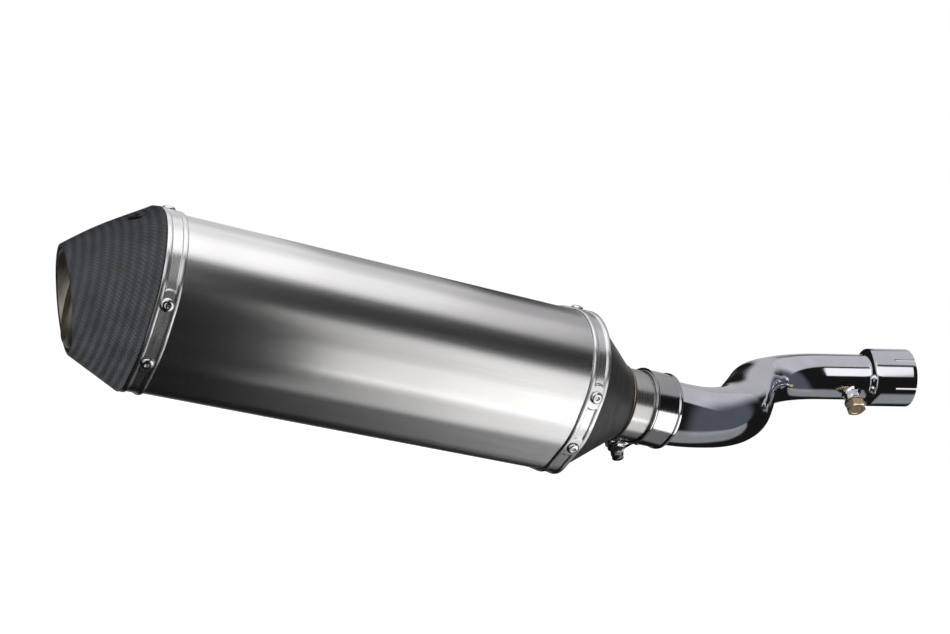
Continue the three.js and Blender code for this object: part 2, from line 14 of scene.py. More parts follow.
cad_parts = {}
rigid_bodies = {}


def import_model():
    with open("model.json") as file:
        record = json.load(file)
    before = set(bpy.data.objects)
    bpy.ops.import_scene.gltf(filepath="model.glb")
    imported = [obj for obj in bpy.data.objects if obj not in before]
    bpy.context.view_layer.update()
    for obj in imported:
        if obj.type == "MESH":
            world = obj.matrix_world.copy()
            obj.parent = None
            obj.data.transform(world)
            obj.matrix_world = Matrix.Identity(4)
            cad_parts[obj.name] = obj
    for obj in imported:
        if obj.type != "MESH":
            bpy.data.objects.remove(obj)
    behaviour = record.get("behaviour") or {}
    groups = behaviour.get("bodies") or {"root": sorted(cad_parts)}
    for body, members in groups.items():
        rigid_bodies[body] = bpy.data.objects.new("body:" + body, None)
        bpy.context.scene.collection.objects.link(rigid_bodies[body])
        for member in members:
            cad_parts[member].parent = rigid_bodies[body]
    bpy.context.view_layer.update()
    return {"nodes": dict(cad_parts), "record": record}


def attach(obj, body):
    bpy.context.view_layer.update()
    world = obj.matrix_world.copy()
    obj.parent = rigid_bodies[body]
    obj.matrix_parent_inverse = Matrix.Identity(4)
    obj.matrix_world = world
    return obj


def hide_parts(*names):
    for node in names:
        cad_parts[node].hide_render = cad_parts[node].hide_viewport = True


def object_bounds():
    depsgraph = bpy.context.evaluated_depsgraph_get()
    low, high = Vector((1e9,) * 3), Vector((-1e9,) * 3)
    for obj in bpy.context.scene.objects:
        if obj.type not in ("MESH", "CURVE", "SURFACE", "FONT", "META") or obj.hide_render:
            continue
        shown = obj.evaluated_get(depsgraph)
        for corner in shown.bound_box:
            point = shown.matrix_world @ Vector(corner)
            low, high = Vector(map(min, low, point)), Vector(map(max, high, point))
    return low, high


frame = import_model()

# ---- Driving dimensions

GAP = 0.0003  # clearance between neighbouring pieces

# Can section: outline wrapped round these arcs and their mirror images in Y, as (radius, offset, height).
HALF_HEIGHT = 0.0615
ARCS = (
    (0.050, 0.010, HALF_HEIGHT - 0.050),
    (0.056, 0.0, -0.0005),
    (0.024, 0.0085, 0.024 - HALF_HEIGHT),
)
FLAT_HALF = 0.012  # beyond half the width of the flat top
OUTLINE_STEPS = 720  # points round the can for embossed pieces
PLAIN = 3  # plain pieces use every third of them

CAN_LENGTH = 0.305
BAND_WIDTH = 0.0144
SHEET = 0.0012
CARBON = 0.0022
SLEEVE_REAR = 0.003 - BAND_WIDTH
SLEEVE_FRONT = CAN_LENGTH + BAND_WIDTH - 0.001
REAR_BAND_X = -BAND_WIDTH / 2
FRONT_BAND_X = CAN_LENGTH + BAND_WIDTH / 2

# Embossing of the bands: a sunk panel between two rivets, stopped by a round-ended pad at each rivet.
PANEL_HALF = 0.0039
PANEL_DEPTH = 0.0009
PANEL_SOFT = 0.00075
PAD_RADIUS = 0.0054
PAD_HALF_LENGTH = 0.0040

RIVET_ANGLES = [math.radians(a) for a in (-139, -169.4, 90, -10.6, -41)]
RIVET_RADIUS = 0.0047
RIVET_DOME = 0.0021
RIVET_BORE = 0.0016

# Outlet and end cap.
OUTLET_X = -0.0608
OUTLET_DROP = 0.0114
OUTLET_RADIUS = 0.033
OUTLET_WALL = 0.0015
OUTLET_TUBE_START = 0.014
SLASH = math.radians(16.4)
CAP_EDGE = -BAND_WIDTH - GAP
CAP_STAND = 0.0019  # height of the cap's level shoulder beside the band
CAP_SHOULDER = 0.0010  # width of that shoulder
CAP_SWELL = 0.0021
SCREW_X = -0.030
SCREW_LEAN = math.radians(15)  # from upright towards -Y, about the outlet's axis
SCREW_HOLE = 0.0052
SCREW_SEAT = OUTLET_RADIUS - OUTLET_DROP + 0.008 + GAP
SCREW_TOP = SCREW_SEAT + 0.0055
BAFFLE_RADIUS = 0.031
BAFFLE_THROAT = 0.017
BAFFLE_MOUTH_X = -0.056
BAFFLE_LENGTH = 0.062

# Inlet end.
CONE_END = 0.362
SLEEVE_OUTER = 0.0278
SLEEVE_INNER = 0.0259
SLEEVE_START = 0.340
SLEEVE_END = 0.404
SLEEVE_SLOT_LENGTH = 0.020

# Band clamp.
CLAMP_START = 0.3825
CLAMP_END = 0.406
CLAMP_INNER = 0.0281
CLAMP_SHEET = 0.0009
CLAMP_SPLIT = 0.009
CLAMP_ANGLE = math.radians(-38)
OVERLAP_ANGLE = math.radians(213)  # where the strap's outer layer ends
BOLT_X = 0.386
BOLT_REACH = 0.039
BOLT_RADIUS = 0.003
TRUNNION = 0.004
TRUNNION_WIDTH = 0.015
SPREAD = 0.011

# Link pipe.
SPIGOT_START = 0.374
BEND_START = 0.405
SPIGOT_RADIUS = 0.0256
NEAR_RADIUS = 0.0243
FAR_RADIUS = 0.0212
PIPE_WALL = 0.0015
FIRST_BEND = 0.138  # radii of the two bends of its axis
SECOND_BEND = 0.094
MIDDLE_RUN = 0.066
FAR_RUN = 0.084
SOCKET_LENGTH = 0.044
SOCKET_STEP = 0.006
SOCKET_RADIUS = 0.0269
SOCKET_SLOT_LENGTH = 0.020
SOCKET_SLOT_TURN = math.radians(47)
SLOT_STEPS = 5  # stretches of mesh along a slot
PIPE_SIDES = 108  # one side is as wide as a socket slot

# Boss and hexagon plug under the link pipe.
PLUG_BACK = 0.059
PLUG_LEAN = math.radians(47)
BOSS_RADIUS = 0.0076
BOSS_TOP = FAR_RADIUS + 0.0086
WASHER_RADIUS = 0.0088
WASHER_HEIGHT = 0.0014
PLUG_BORE = 0.0047
PLUG_FLAT = 0.016
PLUG_HEAD = 0.008

# Camera: it looks level, turned from +Y towards +X, and is rolled about its own axis.
CAMERA_PLACE = Vector((-0.9503, -1.1281, -0.0359))
CAMERA_HEADING = math.radians(24.12)
CAMERA_ROLL = math.radians(13.12)
CAMERA_LENS = 57.19
FLOOR_DROP = 0.16  # floor below the object's lowest point


def heading(around, up):
    """Unit vector turned from +X towards +Y, then raised, both in degrees."""
    a, e = math.radians(around), math.radians(up)
    return Vector((math.cos(e) * math.cos(a), math.cos(e) * math.sin(a), math.sin(e)))


AHEAD = Vector((1, 0, 0))
MIDDLE_DIRECTION = heading(51.4, 13.8)
FAR_DIRECTION = heading(-14.7, 11.6)

# ---- Link pipe route


def bend_points(start, direction, to, radius, steps):
    """Points and directions along a bend from one direction to another."""
    side = (to - direction * direction.dot(to)).normalized()
    turn = direction.angle(to)
    found = []
    for i in range(steps + 1):
        a = turn * i / steps
        place = start + direction * (radius * math.sin(a)) + side * (radius * (1 - math.cos(a)))
        found.append((place, direction * math.cos(a) + side * math.sin(a)))
    return found


def between(a, b, share):
    return a + (b - a) * min(1.0, max(0.0, share))


def smooth(share):
    share = min(1.0, max(0.0, share))
    return share * share * (3 - 2 * share)


def pipe_stations():
    """Stations of the link pipe in the can's frame, as (point, direction, radius), up to its mouth."""
    stations = []
    for i in range(5):
        x = between(SPIGOT_START, BEND_START, i / 5)
        stations.append((Vector((x, 0, 0)), AHEAD, SPIGOT_RADIUS))
    first = bend_points(Vector((BEND_START, 0, 0)), AHEAD, MIDDLE_DIRECTION, FIRST_BEND, 40)
    for i, (place, direction) in enumerate(first):
        stations.append((place, direction, between(SPIGOT_RADIUS, NEAR_RADIUS, smooth(2.5 * i / 40))))
    corner = first[-1][0]
    halfway = (NEAR_RADIUS + FAR_RADIUS) / 2
    for i in range(1, 12):
        radius = between(NEAR_RADIUS, halfway, smooth(i / 12))
        stations.append((corner + MIDDLE_DIRECTION * (MIDDLE_RUN * i / 12), MIDDLE_DIRECTION, radius))
    middle_end = corner + MIDDLE_DIRECTION * MIDDLE_RUN
    second = bend_points(middle_end, MIDDLE_DIRECTION, FAR_DIRECTION, SECOND_BEND, 56)
    for i, (place, direction) in enumerate(second):
        stations.append((place, direction, between(halfway, FAR_RADIUS, smooth(2 * i / 56))))
    flare = FAR_RUN - SOCKET_LENGTH
    wide = flare + SOCKET_STEP
    slotted = FAR_RUN - SOCKET_SLOT_LENGTH
    alongs = [flare * i / 8 for i in range(1, 8)]
    alongs += [between(flare, wide, i / 8) for i in range(9)]
    alongs += [between(wide, slotted, i / 4) for i in range(1, 5)]
    alongs += [between(slotted, FAR_RUN, i / SLOT_STEPS) for i in range(1, SLOT_STEPS + 1)]
    for along in alongs:
        radius = between(FAR_RADIUS, SOCKET_RADIUS, smooth((along - flare) / SOCKET_STEP))
        stations.append((second[-1][0] + FAR_DIRECTION * along, FAR_DIRECTION, radius))
    return stations


STATIONS = pipe_stations()
MOUTH = STATIONS[-1][0]


def to_row(point):
    return Vector(point) - MOUTH


# ---- Mesh helpers


def grid(rows, wrap_rows=False, skip=None):
    """Points and quads of closed rows that follow one another; skip(row, column) leaves a quad out."""
    columns = len(rows[0])
    faces = []
    for r in range(len(rows) if wrap_rows else len(rows) - 1):
        for c in range(columns):
            if skip and skip(r, c):
                continue
            right = (c + 1) % columns
            here, below = r * columns, (r + 1) % len(rows) * columns
            faces.append((here + c, here + right, below + right, below + c))
    return [p for row in rows for p in row], faces


def capped(rows):
    """Grid of rows with a flat face over each end."""
    points, faces = grid(rows)
    last = len(points) - len(rows[0])
    faces.append(tuple(range(len(rows[0]))))
    faces.append(tuple(range(last, len(points))))
    return points, faces


def make(name, points, faces, sharp=32):
    """Object of this mesh, given in the can's frame, with its faces turned outwards and smooth shading."""
    mesh = bpy.data.meshes.new(name)
    mesh.from_pydata([to_row(p) for p in points], [], faces)
    work = bmesh.new()
    work.from_mesh(mesh)
    bmesh.ops.remove_doubles(work, verts=work.verts, dist=1e-6)
    bmesh.ops.recalc_face_normals(work, faces=work.faces)
    work.to_mesh(mesh)
    work.free()
    mesh.shade_smooth()
    mesh.set_sharp_from_angle(angle=math.radians(sharp))
    obj = bpy.data.objects.new(name, mesh)
    bpy.context.scene.collection.objects.link(obj)
    return obj


def apply_modifiers(obj, sharp=32):
    """Works the object's modifiers into its mesh."""
    graph = bpy.context.evaluated_depsgraph_get()
    mesh = bpy.data.meshes.new_from_object(obj.evaluated_get(graph))
    obj.modifiers.clear()
    obj.data = mesh
    mesh.shade_smooth()
    mesh.set_sharp_from_angle(angle=math.radians(sharp))


def soften(obj, edge):
    """Adds small rounded edges, still to be applied."""
    bevel = obj.modifiers.new("edge", "BEVEL")
    bevel.width = edge
    bevel.segments = 2
    bevel.limit_method = "ANGLE"
    bevel.angle_limit = math.radians(50)


def thicken(obj, wall, edge=0.0002):
    """Gives a single sheet its wall, inwards, with small rounded edges."""
    solid = obj.modifiers.new("wall", "SOLIDIFY")
    solid.thickness = wall
    solid.offset = -1
    solid.use_even_offset = True
    soften(obj, edge)
    apply_modifiers(obj)


def rounded(corners, radius, steps=3):
    """Closed outline with its corners rounded off."""
    outline = []
    for i, corner in enumerate(corners):
        here = Vector(corner)
        before = Vector(corners[i - 1]) - here
        after = Vector(corners[(i + 1) % len(corners)]) - here
        start = here + before.normalized() * min(radius, 0.45 * before.length)
        end = here + after.normalized() * min(radius, 0.45 * after.length)
        for k in range(steps + 1):
            t = k / steps
            outline.append(start * (1 - t) ** 2 + here * (2 * t * (1 - t)) + end * t**2)
    return outline


def frame_at(origin, axis, up):
    """4x4 matrix whose local X is the axis and whose local Z is up made square to it."""
    x = axis.normalized()
    z = (up - x * up.dot(x)).normalized()
    y = z.cross(x)
    matrix = Matrix((x, y, z)).transposed().to_4x4()
    matrix.translation = origin
    return matrix


def turns(count):
    """Angles of evenly spaced points round a full turn."""
    return [2 * math.pi * i / count for i in range(count)]


def circle(x, radius, sides=96):
    """Ring of points round the X axis."""
    return [Vector((x, radius * math.cos(a), radius * math.sin(a))) for a in turns(sides)]


def placed(place, rows):
    """The rows of points carried by a matrix."""
    return [[place @ point for point in row] for row in rows]


def turned(name, outline, place, sides=64, sharp=32):
    """Solid of revolution about local X from (x, radius) pairs; an end at radius 0 is closed."""
    rows = placed(place, [circle(x, radius, sides) for x, radius in outline])
    return make(name, *grid(rows, wrap_rows=outline[0][1] > 0), sharp)


def wear(obj, body, slot, *nodes, material=None):
    """Puts a finished piece on its body, in its slot's or its own material, in place of CAD nodes."""
    obj.data.materials.clear()
    obj.data.materials.append(MATERIALS[material or slot])
    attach(obj, body)
    if nodes:
        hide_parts(*nodes)


# ---- Can section


def section_point(angle):
    """Point of the can section whose outward normal has this angle from +Y."""
    y, z = math.cos(angle), math.sin(angle)
    side = math.copysign(1, y)
    radius, offset, height = max(ARCS, key=lambda arc: arc[1] * side * y + arc[2] * z + arc[0])
    return offset * side + radius * y, height + radius * z


def section_outline(count):
    """Evenly spaced points round the section from its bottom, as (y, z, normal angle, distance)."""
    fine = 4 * count
    angles = [-math.pi / 2 + 2 * math.pi * i / fine for i in range(fine + 1)]
    points = [section_point(a + 1e-7) for a in angles]
    travelled = [0.0]
    for (y0, z0), (y1, z1) in zip(points, points[1:]):
        travelled.append(travelled[-1] + math.hypot(y1 - y0, z1 - z0))
    found, k = [], 0
    for i in range(count):
        wanted = travelled[-1] * i / count
        while travelled[k + 1] < wanted:
            k += 1
        share = (wanted - travelled[k]) / max(travelled[k + 1] - travelled[k], 1e-12)
        (y0, z0), (y1, z1) = points[k], points[k + 1]
        angle = between(angles[k], angles[k + 1], share)
        found.append((between(y0, y1, share), between(z0, z1, share), angle, wanted))
    return found, travelled[-1]


OUTLINE, PERIMETER = section_outline(OUTLINE_STEPS)


def section_ring(x, grow, every=PLAIN):
    """Ring of the can section at station x, moved out by grow."""
    return [
        Vector((x, y + grow * math.cos(a), z + grow * math.sin(a))) for y, z, a, _ in OUTLINE[::every]
    ]


def round_ring(x, drop, radius, lean=0.0):
    """Circle with a point facing each point of a plain section ring; a lean tips its top back."""
    ring = []
    for y, z, _, _ in OUTLINE[::PLAIN]:
        angle = math.atan2(z, y)
        up = radius * math.sin(angle)
        ring.append(Vector((x - up * math.tan(lean), radius * math.cos(angle), up - drop)))
    return ring


def mix_rings(a, b, share):
    return [p.lerp(q, share) for p, q in zip(a, b)]


# ---- Can pieces


def sleeve():
    """The titanium sleeve, in short stretches along its length."""
    steps = 16
    stations = [between(SLEEVE_REAR, SLEEVE_FRONT, i / steps) for i in range(steps + 1)]
    rows = [section_ring(x, 0.0) for x in stations] + [section_ring(x, -SHEET) for x in reversed(stations)]
    sheet = make("can_sleeve", *grid(rows, wrap_rows=True))
    wear(sheet, "silencer", "sleeve_titanium", "outer_sleeve")


def rivet_distance(angle):
    """Distance round the section at which a rivet stands; on the flat top it is the flat's middle."""

    def miss(point):
        y, _, normal, _ = point
        off_middle = abs(y) if abs(y) < FLAT_HALF else 0.0
        return abs(math.remainder(normal - angle, 2 * math.pi)) + off_middle

    return min(OUTLINE, key=miss)[3]


def emboss(distance, v, rivets, plain):
    """How far the band is sunk at a distance round the section and v from its middle line."""
    inside = PANEL_HALF - abs(v)
    for s in rivets:
        along = abs(math.remainder(distance - s, PERIMETER))
        beyond = max(along - PAD_HALF_LENGTH, 0.0)
        inside = min(inside, math.hypot(beyond, v) - PAD_RADIUS)
    for low, high in plain:
        if low - PANEL_SOFT < distance < high + PANEL_SOFT:
            inside = min(inside, max(low - distance, distance - high))
    return PANEL_DEPTH * smooth(inside / PANEL_SOFT)


def band(name, middle, node, plain_pairs=()):
    """Embossed band with rounded edges; no panel lies between the rivets of each of plain_pairs."""
    rivets = [rivet_distance(a) for a in RIVET_ANGLES]
    plain = [tuple(sorted((rivets[i], rivets[j]))) for i, j in plain_pairs]
    half = BAND_WIDTH / 2
    edge = 0.0006
    top = GAP + SHEET
    corner = [(half, GAP)]
    for k in range(4):
        turn = math.pi / 2 * k / 4
        corner.append((half - edge * (1 - math.cos(turn)), top - edge * (1 - math.sin(turn))))
    rows = [section_ring(middle - v, grow, 1) for v, grow in corner]
    steps = 44
    for k in range(steps + 1):
        v = (half - edge) * (2 * k / steps - 1)
        crown = 0.00022 * max(0.0, 1 - ((abs(v) - 0.0054) / 0.0014) ** 2)
        ring = []
        for y, z, a, distance in OUTLINE:
            grow = top + crown - emboss(distance, v, rivets, plain)
            ring.append(Vector((middle + v, y + grow * math.cos(a), z + grow * math.sin(a))))
        rows.append(ring)
    rows += [section_ring(middle + v, grow, 1) for v, grow in reversed(corner)]
    wear(make(name, *grid(rows, wrap_rows=True), sharp=60), "silencer", "band_steel", node)


def rivets(prefix, x, node_prefix):
    """Domed rivets round a band, each with a stepped bore in its head."""
    outline = [(-0.0012, 0.0), (-0.0012, 0.002), (0.0, 0.002), (0.0, RIVET_RADIUS - 0.0002)]
    outline.append((0.0002, RIVET_RADIUS))
    rim = RIVET_BORE + 0.0004
    for k in range(1, 11):
        turn = math.pi / 2 * k / 10
        radius = rim + (RIVET_RADIUS - rim) * math.cos(turn)
        outline.append((0.0002 + (RIVET_DOME - 0.0002) * math.sin(turn), radius))
    bore = RIVET_BORE
    outline += [(RIVET_DOME - 0.0002, bore), (RIVET_DOME - 0.0014, bore), (RIVET_DOME - 0.0014, 0.0009)]
    outline += [(RIVET_DOME - 0.0010, 0.0006), (RIVET_DOME - 0.0009, 0.0)]
    for i, angle in enumerate(RIVET_ANGLES):
        around = [Vector((x, *section_point(angle + nudge))) for nudge in (-1e-6, 1e-6)]
        out = Vector((0, math.cos(angle), math.sin(angle)))
        seat = (around[0] + around[1]) / 2 + out * (2 * GAP + SHEET)
        number = str(i + 1)
        head = turned(prefix + "_head_" + number, outline, frame_at(seat, out, AHEAD), 40)
        wear(head, "silencer", "rivet_steel", node_prefix + number)


# ---- Outlet end


def cap_ring(share, inset, grow):
    """Ring of the end cap's skin from the band (share 0) to the slanted mouth (share 1)."""
    start = section_ring(CAP_EDGE - CAP_SHOULDER, grow - inset)
    end = round_ring(OUTLET_X, OUTLET_DROP, OUTLET_RADIUS + GAP + CARBON - inset, SLASH)
    lift = CAP_SWELL * math.sin(math.pi * share**1.3)
    ring = []
    for point in mix_rings(start, end, share):
        angle = math.atan2(point.z, point.y)
        up = lift * (1 + math.sin(angle)) / 2
        ring.append(point + Vector((0, up * math.cos(angle), up * math.sin(angle))))
    return ring


def screw_place():
    """Frame on the can's axis line whose local X points up along the baffle's screw."""
    down = Matrix.Translation((0, 0, -OUTLET_DROP))
    lean = down @ Matrix.Rotation(SCREW_LEAN, 4, "X") @ down.inverted()
    return lean @ frame_at(Vector((SCREW_X, 0, 0)), Vector((0, 0, 1)), AHEAD)


def end_cap():
    """Woven end cap: a lip under the band, a shoulder beside it, and the swollen skin to the mouth."""
    lip_end = SLEEVE_REAR + 0.009
    lip = -SHEET - GAP
    steps = 48
    rows = [section_ring(lip_end, lip), section_ring(SLEEVE_REAR - GAP, lip)]
    rows += [section_ring(SLEEVE_REAR - GAP, 0.0), section_ring(CAP_EDGE, 0.0)]
    for turn in (0.0, math.radians(30), math.radians(60), math.radians(90)):
        back, drop = 0.0006 * (1 - math.cos(turn)), 0.0006 * (1 - math.sin(turn))
        rows.append(section_ring(CAP_EDGE - back, CAP_STAND - drop))
    rows.append(section_ring(CAP_EDGE - 0.6 * CAP_SHOULDER, CAP_STAND))
    rows.append(section_ring(CAP_EDGE - 0.85 * CAP_SHOULDER, CAP_STAND - 0.00008))
    rows += [cap_ring(0.004 + 0.988 * i / steps, 0.0, CAP_STAND) for i in range(steps + 1)]
    rows += [cap_ring(0.998, 0.0002, CAP_STAND), cap_ring(1.0, 0.0006, CAP_STAND)]
    rows += [cap_ring(1.0, CARBON - 0.0005, CAP_STAND), cap_ring(0.998, CARBON, CAP_STAND)]
    rows += [cap_ring(1 - i / 12, CARBON, CAP_STAND) for i in range(1, 13)]
    rows += [section_ring(CAP_EDGE, lip - 0.001), section_ring(SLEEVE_REAR - GAP, lip - CARBON)]
    rows.append(section_ring(lip_end, lip - CARBON))
    cap = make("carbon_cap", *grid(rows, wrap_rows=True), sharp=40)
    drill = [(0.030, 0.0), (0.030, SCREW_HOLE), (0.075, SCREW_HOLE), (0.075, 0.0)]
    hole = turned("hole_cutter", drill, screw_place())
    cut = cap.modifiers.new("hole", "BOOLEAN")
    cut.operation = "DIFFERENCE"
    cut.solver = "EXACT"
    cut.object = hole
    apply_modifiers(cap, 40)
    bpy.data.objects.remove(hole)
    wear(cap, "silencer", "carbon", "carbon_end_cap")


def outlet_tube():
    """Tube inside the cap's mouth, cut on the same slant."""
    steps = 14
    inner = OUTLET_RADIUS - OUTLET_WALL
    soft = 0.0004

    def ring(share, radius):
        flat = round_ring(OUTLET_TUBE_START, OUTLET_DROP, radius)
        slanted = round_ring(OUTLET_X + 0.0008, OUTLET_DROP, radius, SLASH)
        return mix_rings(flat, slanted, share)

    rows = [ring(0.99 * i / steps, OUTLET_RADIUS) for i in range(steps + 1)]
    rows += [ring(0.996, OUTLET_RADIUS), ring(1.0, OUTLET_RADIUS - soft), ring(1.0, inner + soft)]
    rows += [ring(0.996, inner)] + [ring(0.99 * (1 - i / steps), inner) for i in range(steps + 1)]
    wear(make("outlet_liner", *grid(rows, wrap_rows=True)), "silencer", "inner_steel", "outlet_tube")


def screw_parts():
    """Socket-head screw in the cap's recess and the threaded boss under it."""
    place = screw_place()
    head, socket = 0.0048, 0.0024
    tip = OUTLET_RADIUS - OUTLET_DROP - OUTLET_WALL + 0.0001
    outline = [(tip, 0.0), (tip, 0.0026), (tip + 0.0004, 0.003), (SCREW_SEAT, 0.003), (SCREW_SEAT, head)]
    outline += [(SCREW_TOP - 0.0005, head), (SCREW_TOP, head - 0.0005), (SCREW_TOP, socket)]
    outline += [(SCREW_TOP - 0.003, socket), (SCREW_TOP - 0.003, 0.0)]
    wear(turned("cap_screw", outline, place, 48), "silencer", "black_steel", "baffle_screw")
    base = OUTLET_RADIUS - OUTLET_DROP + 0.001
    top = base + 0.007
    boss = rounded([(base, 0.0031), (base, 0.0065), (top, 0.0065), (top, 0.0031)], 0.0004)
    wear(turned("screw_boss", boss, place, 48), "silencer", "inner_steel", "baffle_screw_boss")


def baffle():
    """Funnel insert in the outlet."""
    wall = 0.0012
    back = BAFFLE_MOUTH_X
    outside = [(back, BAFFLE_RADIUS - 0.004), (back + 0.003, BAFFLE_RADIUS), (back + 0.034, BAFFLE_RADIUS)]
    outside += [(back + 0.046, BAFFLE_THROAT), (back + BAFFLE_LENGTH, BAFFLE_THROAT)]
    inside = [(x, r - wall) for x, r in reversed(outside)]
    outline = rounded(outside + inside, 0.0022, 5)
    place = Matrix.Translation((0, 0, -OUTLET_DROP))
    wear(turned("outlet_baffle", outline, place, 96, 40), "baffle", "inner_steel", "baffle")


# ---- Inlet end


def cone():
    """Cone from the front band to the inlet sleeve, with a rolled end."""
    wall = 0.0015
    lip = -SHEET - GAP
    base = SLEEVE_FRONT + 0.0005
    end = SLEEVE_OUTER + GAP + wall
    steps = 20
    start_ring, end_ring = section_ring(base, lip), round_ring(CONE_END, 0.0, end)
    rows = [section_ring(SLEEVE_FRONT - 0.009, lip)]
    rows += [mix_rings(start_ring, end_ring, i / steps) for i in range(steps)]
    rows += [round_ring(CONE_END - 0.0004, 0.0, end), round_ring(CONE_END, 0.0, end - 0.0004)]
    rows.append(round_ring(CONE_END, 0.0, end - wall))
    inner_start, inner_end = section_ring(base - 0.001, lip - wall), rows[-1]
    rows += [mix_rings(inner_end, inner_start, i / 8) for i in range(1, 9)]
    rows.append(section_ring(SLEEVE_FRONT - 0.009, lip - wall))
    wear(make("front_cone", *grid(rows, wrap_rows=True)), "silencer", "cone_steel", "inlet_cone")


def weld_bead():
    """Rippled weld bead between the cone and the inlet sleeve."""
    start = CONE_END + GAP
    inner = SLEEVE_OUTER + GAP
    corners = [(start, inner), (start, inner + 0.0016), (start + 0.0012, inner + 0.002)]
    corners += [(start + 0.0026, inner + 0.0012), (start + 0.0032, inner)]
    profile = rounded(corners, 0.0007, 4)
    ripples = 84
    rows = []
    for x, radius in profile:
        depth = 0.00012 if radius > inner + 0.0003 else 0.0
        ring = []
        for a in turns(420):
            r = radius - depth * abs(math.sin(ripples * a / 2))
            ring.append(Vector((x, r * math.cos(a), r * math.sin(a))))
        rows.append(ring)
    bead = make("cone_bead", *grid(rows, wrap_rows=True), 60)
    wear(bead, "silencer", "cone_steel", "cone_weld_bead", material="bead_steel")


def inlet_sleeve():
    """Round sleeve with four slots at its open end."""
    sides = 168
    per_slot = 2
    stations = [between(SLEEVE_START, SLEEVE_END - SLEEVE_SLOT_LENGTH, i / 8) for i in range(9)]
    slotted = len(stations) - 1
    stations += [between(SLEEVE_END - SLEEVE_SLOT_LENGTH, SLEEVE_END, i / 6) for i in range(1, 7)]
    quarter = sides // 4

    def in_slot(row, column):
        return row >= slotted and (column + quarter // 2 + per_slot // 2) % quarter < per_slot

    rows = [circle(x, SLEEVE_OUTER, sides) for x in stations]
    sheet = make("slotted_sleeve", *grid(rows, skip=in_slot))
    thicken(sheet, SLEEVE_OUTER - SLEEVE_INNER)
    wear(sheet, "silencer", "sleeve_steel", "inlet_sleeve")


# ---- Clamp

OUTWARD = Vector((0, math.cos(CLAMP_ANGLE), math.sin(CLAMP_ANGLE)))
TANGENT = Vector((0, math.sin(CLAMP_ANGLE), -math.cos(CLAMP_ANGLE)))


def clamp_point(x, along, out):
    """Point of the clamp at a distance along the bolt and out from the can's axis."""
    return AHEAD * x + TANGENT * along + OUTWARD * out


def clamp_band():
    """Strap with rolled edges, open under the bolt, thicker where its end overlaps it."""
    outer = CLAMP_INNER + CLAMP_SHEET
    bead = 0.0009
    corners = [(CLAMP_START, CLAMP_INNER), (CLAMP_START, outer + bead), (CLAMP_START + 0.0016, outer + bead)]
    corners += [(CLAMP_START + 0.0024, outer), (CLAMP_END - 0.0030, outer)]
    corners += [(CLAMP_END - 0.0022, outer + bead), (CLAMP_END, outer + bead), (CLAMP_END, CLAMP_INNER)]
    profile = rounded(corners, 0.0006, 4)
    gap = math.asin(CLAMP_SPLIT / 2 / outer)
    steps = 220
    start, end = CLAMP_ANGLE + gap, CLAMP_ANGLE + 2 * math.pi - gap
    overlap_width = math.radians(1.6)
    rows = []
    for i in range(steps + 1):
        a = between(start, end, i / steps)
        layer = 0.0007 * smooth((OVERLAP_ANGLE - a) / overlap_width)
        ring = []
        for x, radius in profile:
            r = radius + (layer if radius > CLAMP_INNER + 0.0004 else 0.0)
            ring.append(Vector((x, r * math.cos(a), r * math.sin(a))))
        rows.append(ring)
    wear(make("clamp_strap", *capped(rows), 50), "clamp", "clamp_steel", "clamp_band")


def loop_path(side):
    """Path of a strap end round its cross pin, as (along, out) points; side is -1 or 1."""
    middle = Vector((SPREAD, BOLT_REACH))
    radius = TRUNNION + 0.0008
    foot_angle = math.radians(38)
    foot = CLAMP_INNER + CLAMP_SHEET + 0.0006
    path = []
    for a in (foot_angle + 0.3, foot_angle + 0.15, foot_angle):
        path.append(Vector((foot * math.sin(a), foot * math.cos(a))))
    for k in range(13):
        a = math.radians(-20) + math.radians(200) * k / 12
        path.append(middle + Vector((math.cos(a), math.sin(a))) * radius)
    path.append(Vector((SPREAD - radius + 0.0004, foot + 0.002)))
    path.append(Vector((SPREAD - radius + 0.0014, foot + 0.0002)))
    return [Vector((side * p.x, p.y)) for p in path]


def strip(name, path, thickness, low, high):
    """Bent strip of sheet between stations low and high, along a path of (along, out) points."""
    rows = []
    for i, here in enumerate(path):
        ahead = path[min(i + 1, len(path) - 1)] - path[max(i - 1, 0)]
        across = Vector((-ahead.y, ahead.x)).normalized() * (thickness / 2)
        corners = [(low, 1), (high, 1), (high, -1), (low, -1)]
        rows.append([clamp_point(x, *(here + across * side)) for x, side in corners])
    return make(name, *capped(rows), 40)


def clamp_loops():
    """Strap ends that wrap round the two cross pins, slotted in the middle for the bolt."""
    half = TRUNNION_WIDTH / 2 - 0.0004
    slot = BOLT_RADIUS + 0.0012
    for label, side in (("head", -1), ("nut", 1)):
        for edge, low, high in (("rear", -half, -slot), ("front", slot, half)):
            name = "strap_loop_" + label + "_" + edge
            loop = strip(name, loop_path(side), 0.0008, BOLT_X + low, BOLT_X + high)
            soften(loop, 0.0002)
            apply_modifiers(loop, 40)
            wear(loop, "clamp", "clamp_steel")


def clamp_bridge():
    """Saddle over the strap's gap."""
    radius = CLAMP_INNER + CLAMP_SHEET + 0.0014
    path = []
    for k in range(17):
        a = 0.42 * (2 * k / 16 - 1)
        path.append(Vector((radius * math.sin(a), radius * math.cos(a))))
    half = 0.0065
    saddle = strip("clamp_saddle", path, 0.0008, BOLT_X - half, BOLT_X + half)
    wear(saddle, "clamp", "clamp_steel", "clamp_bridge")


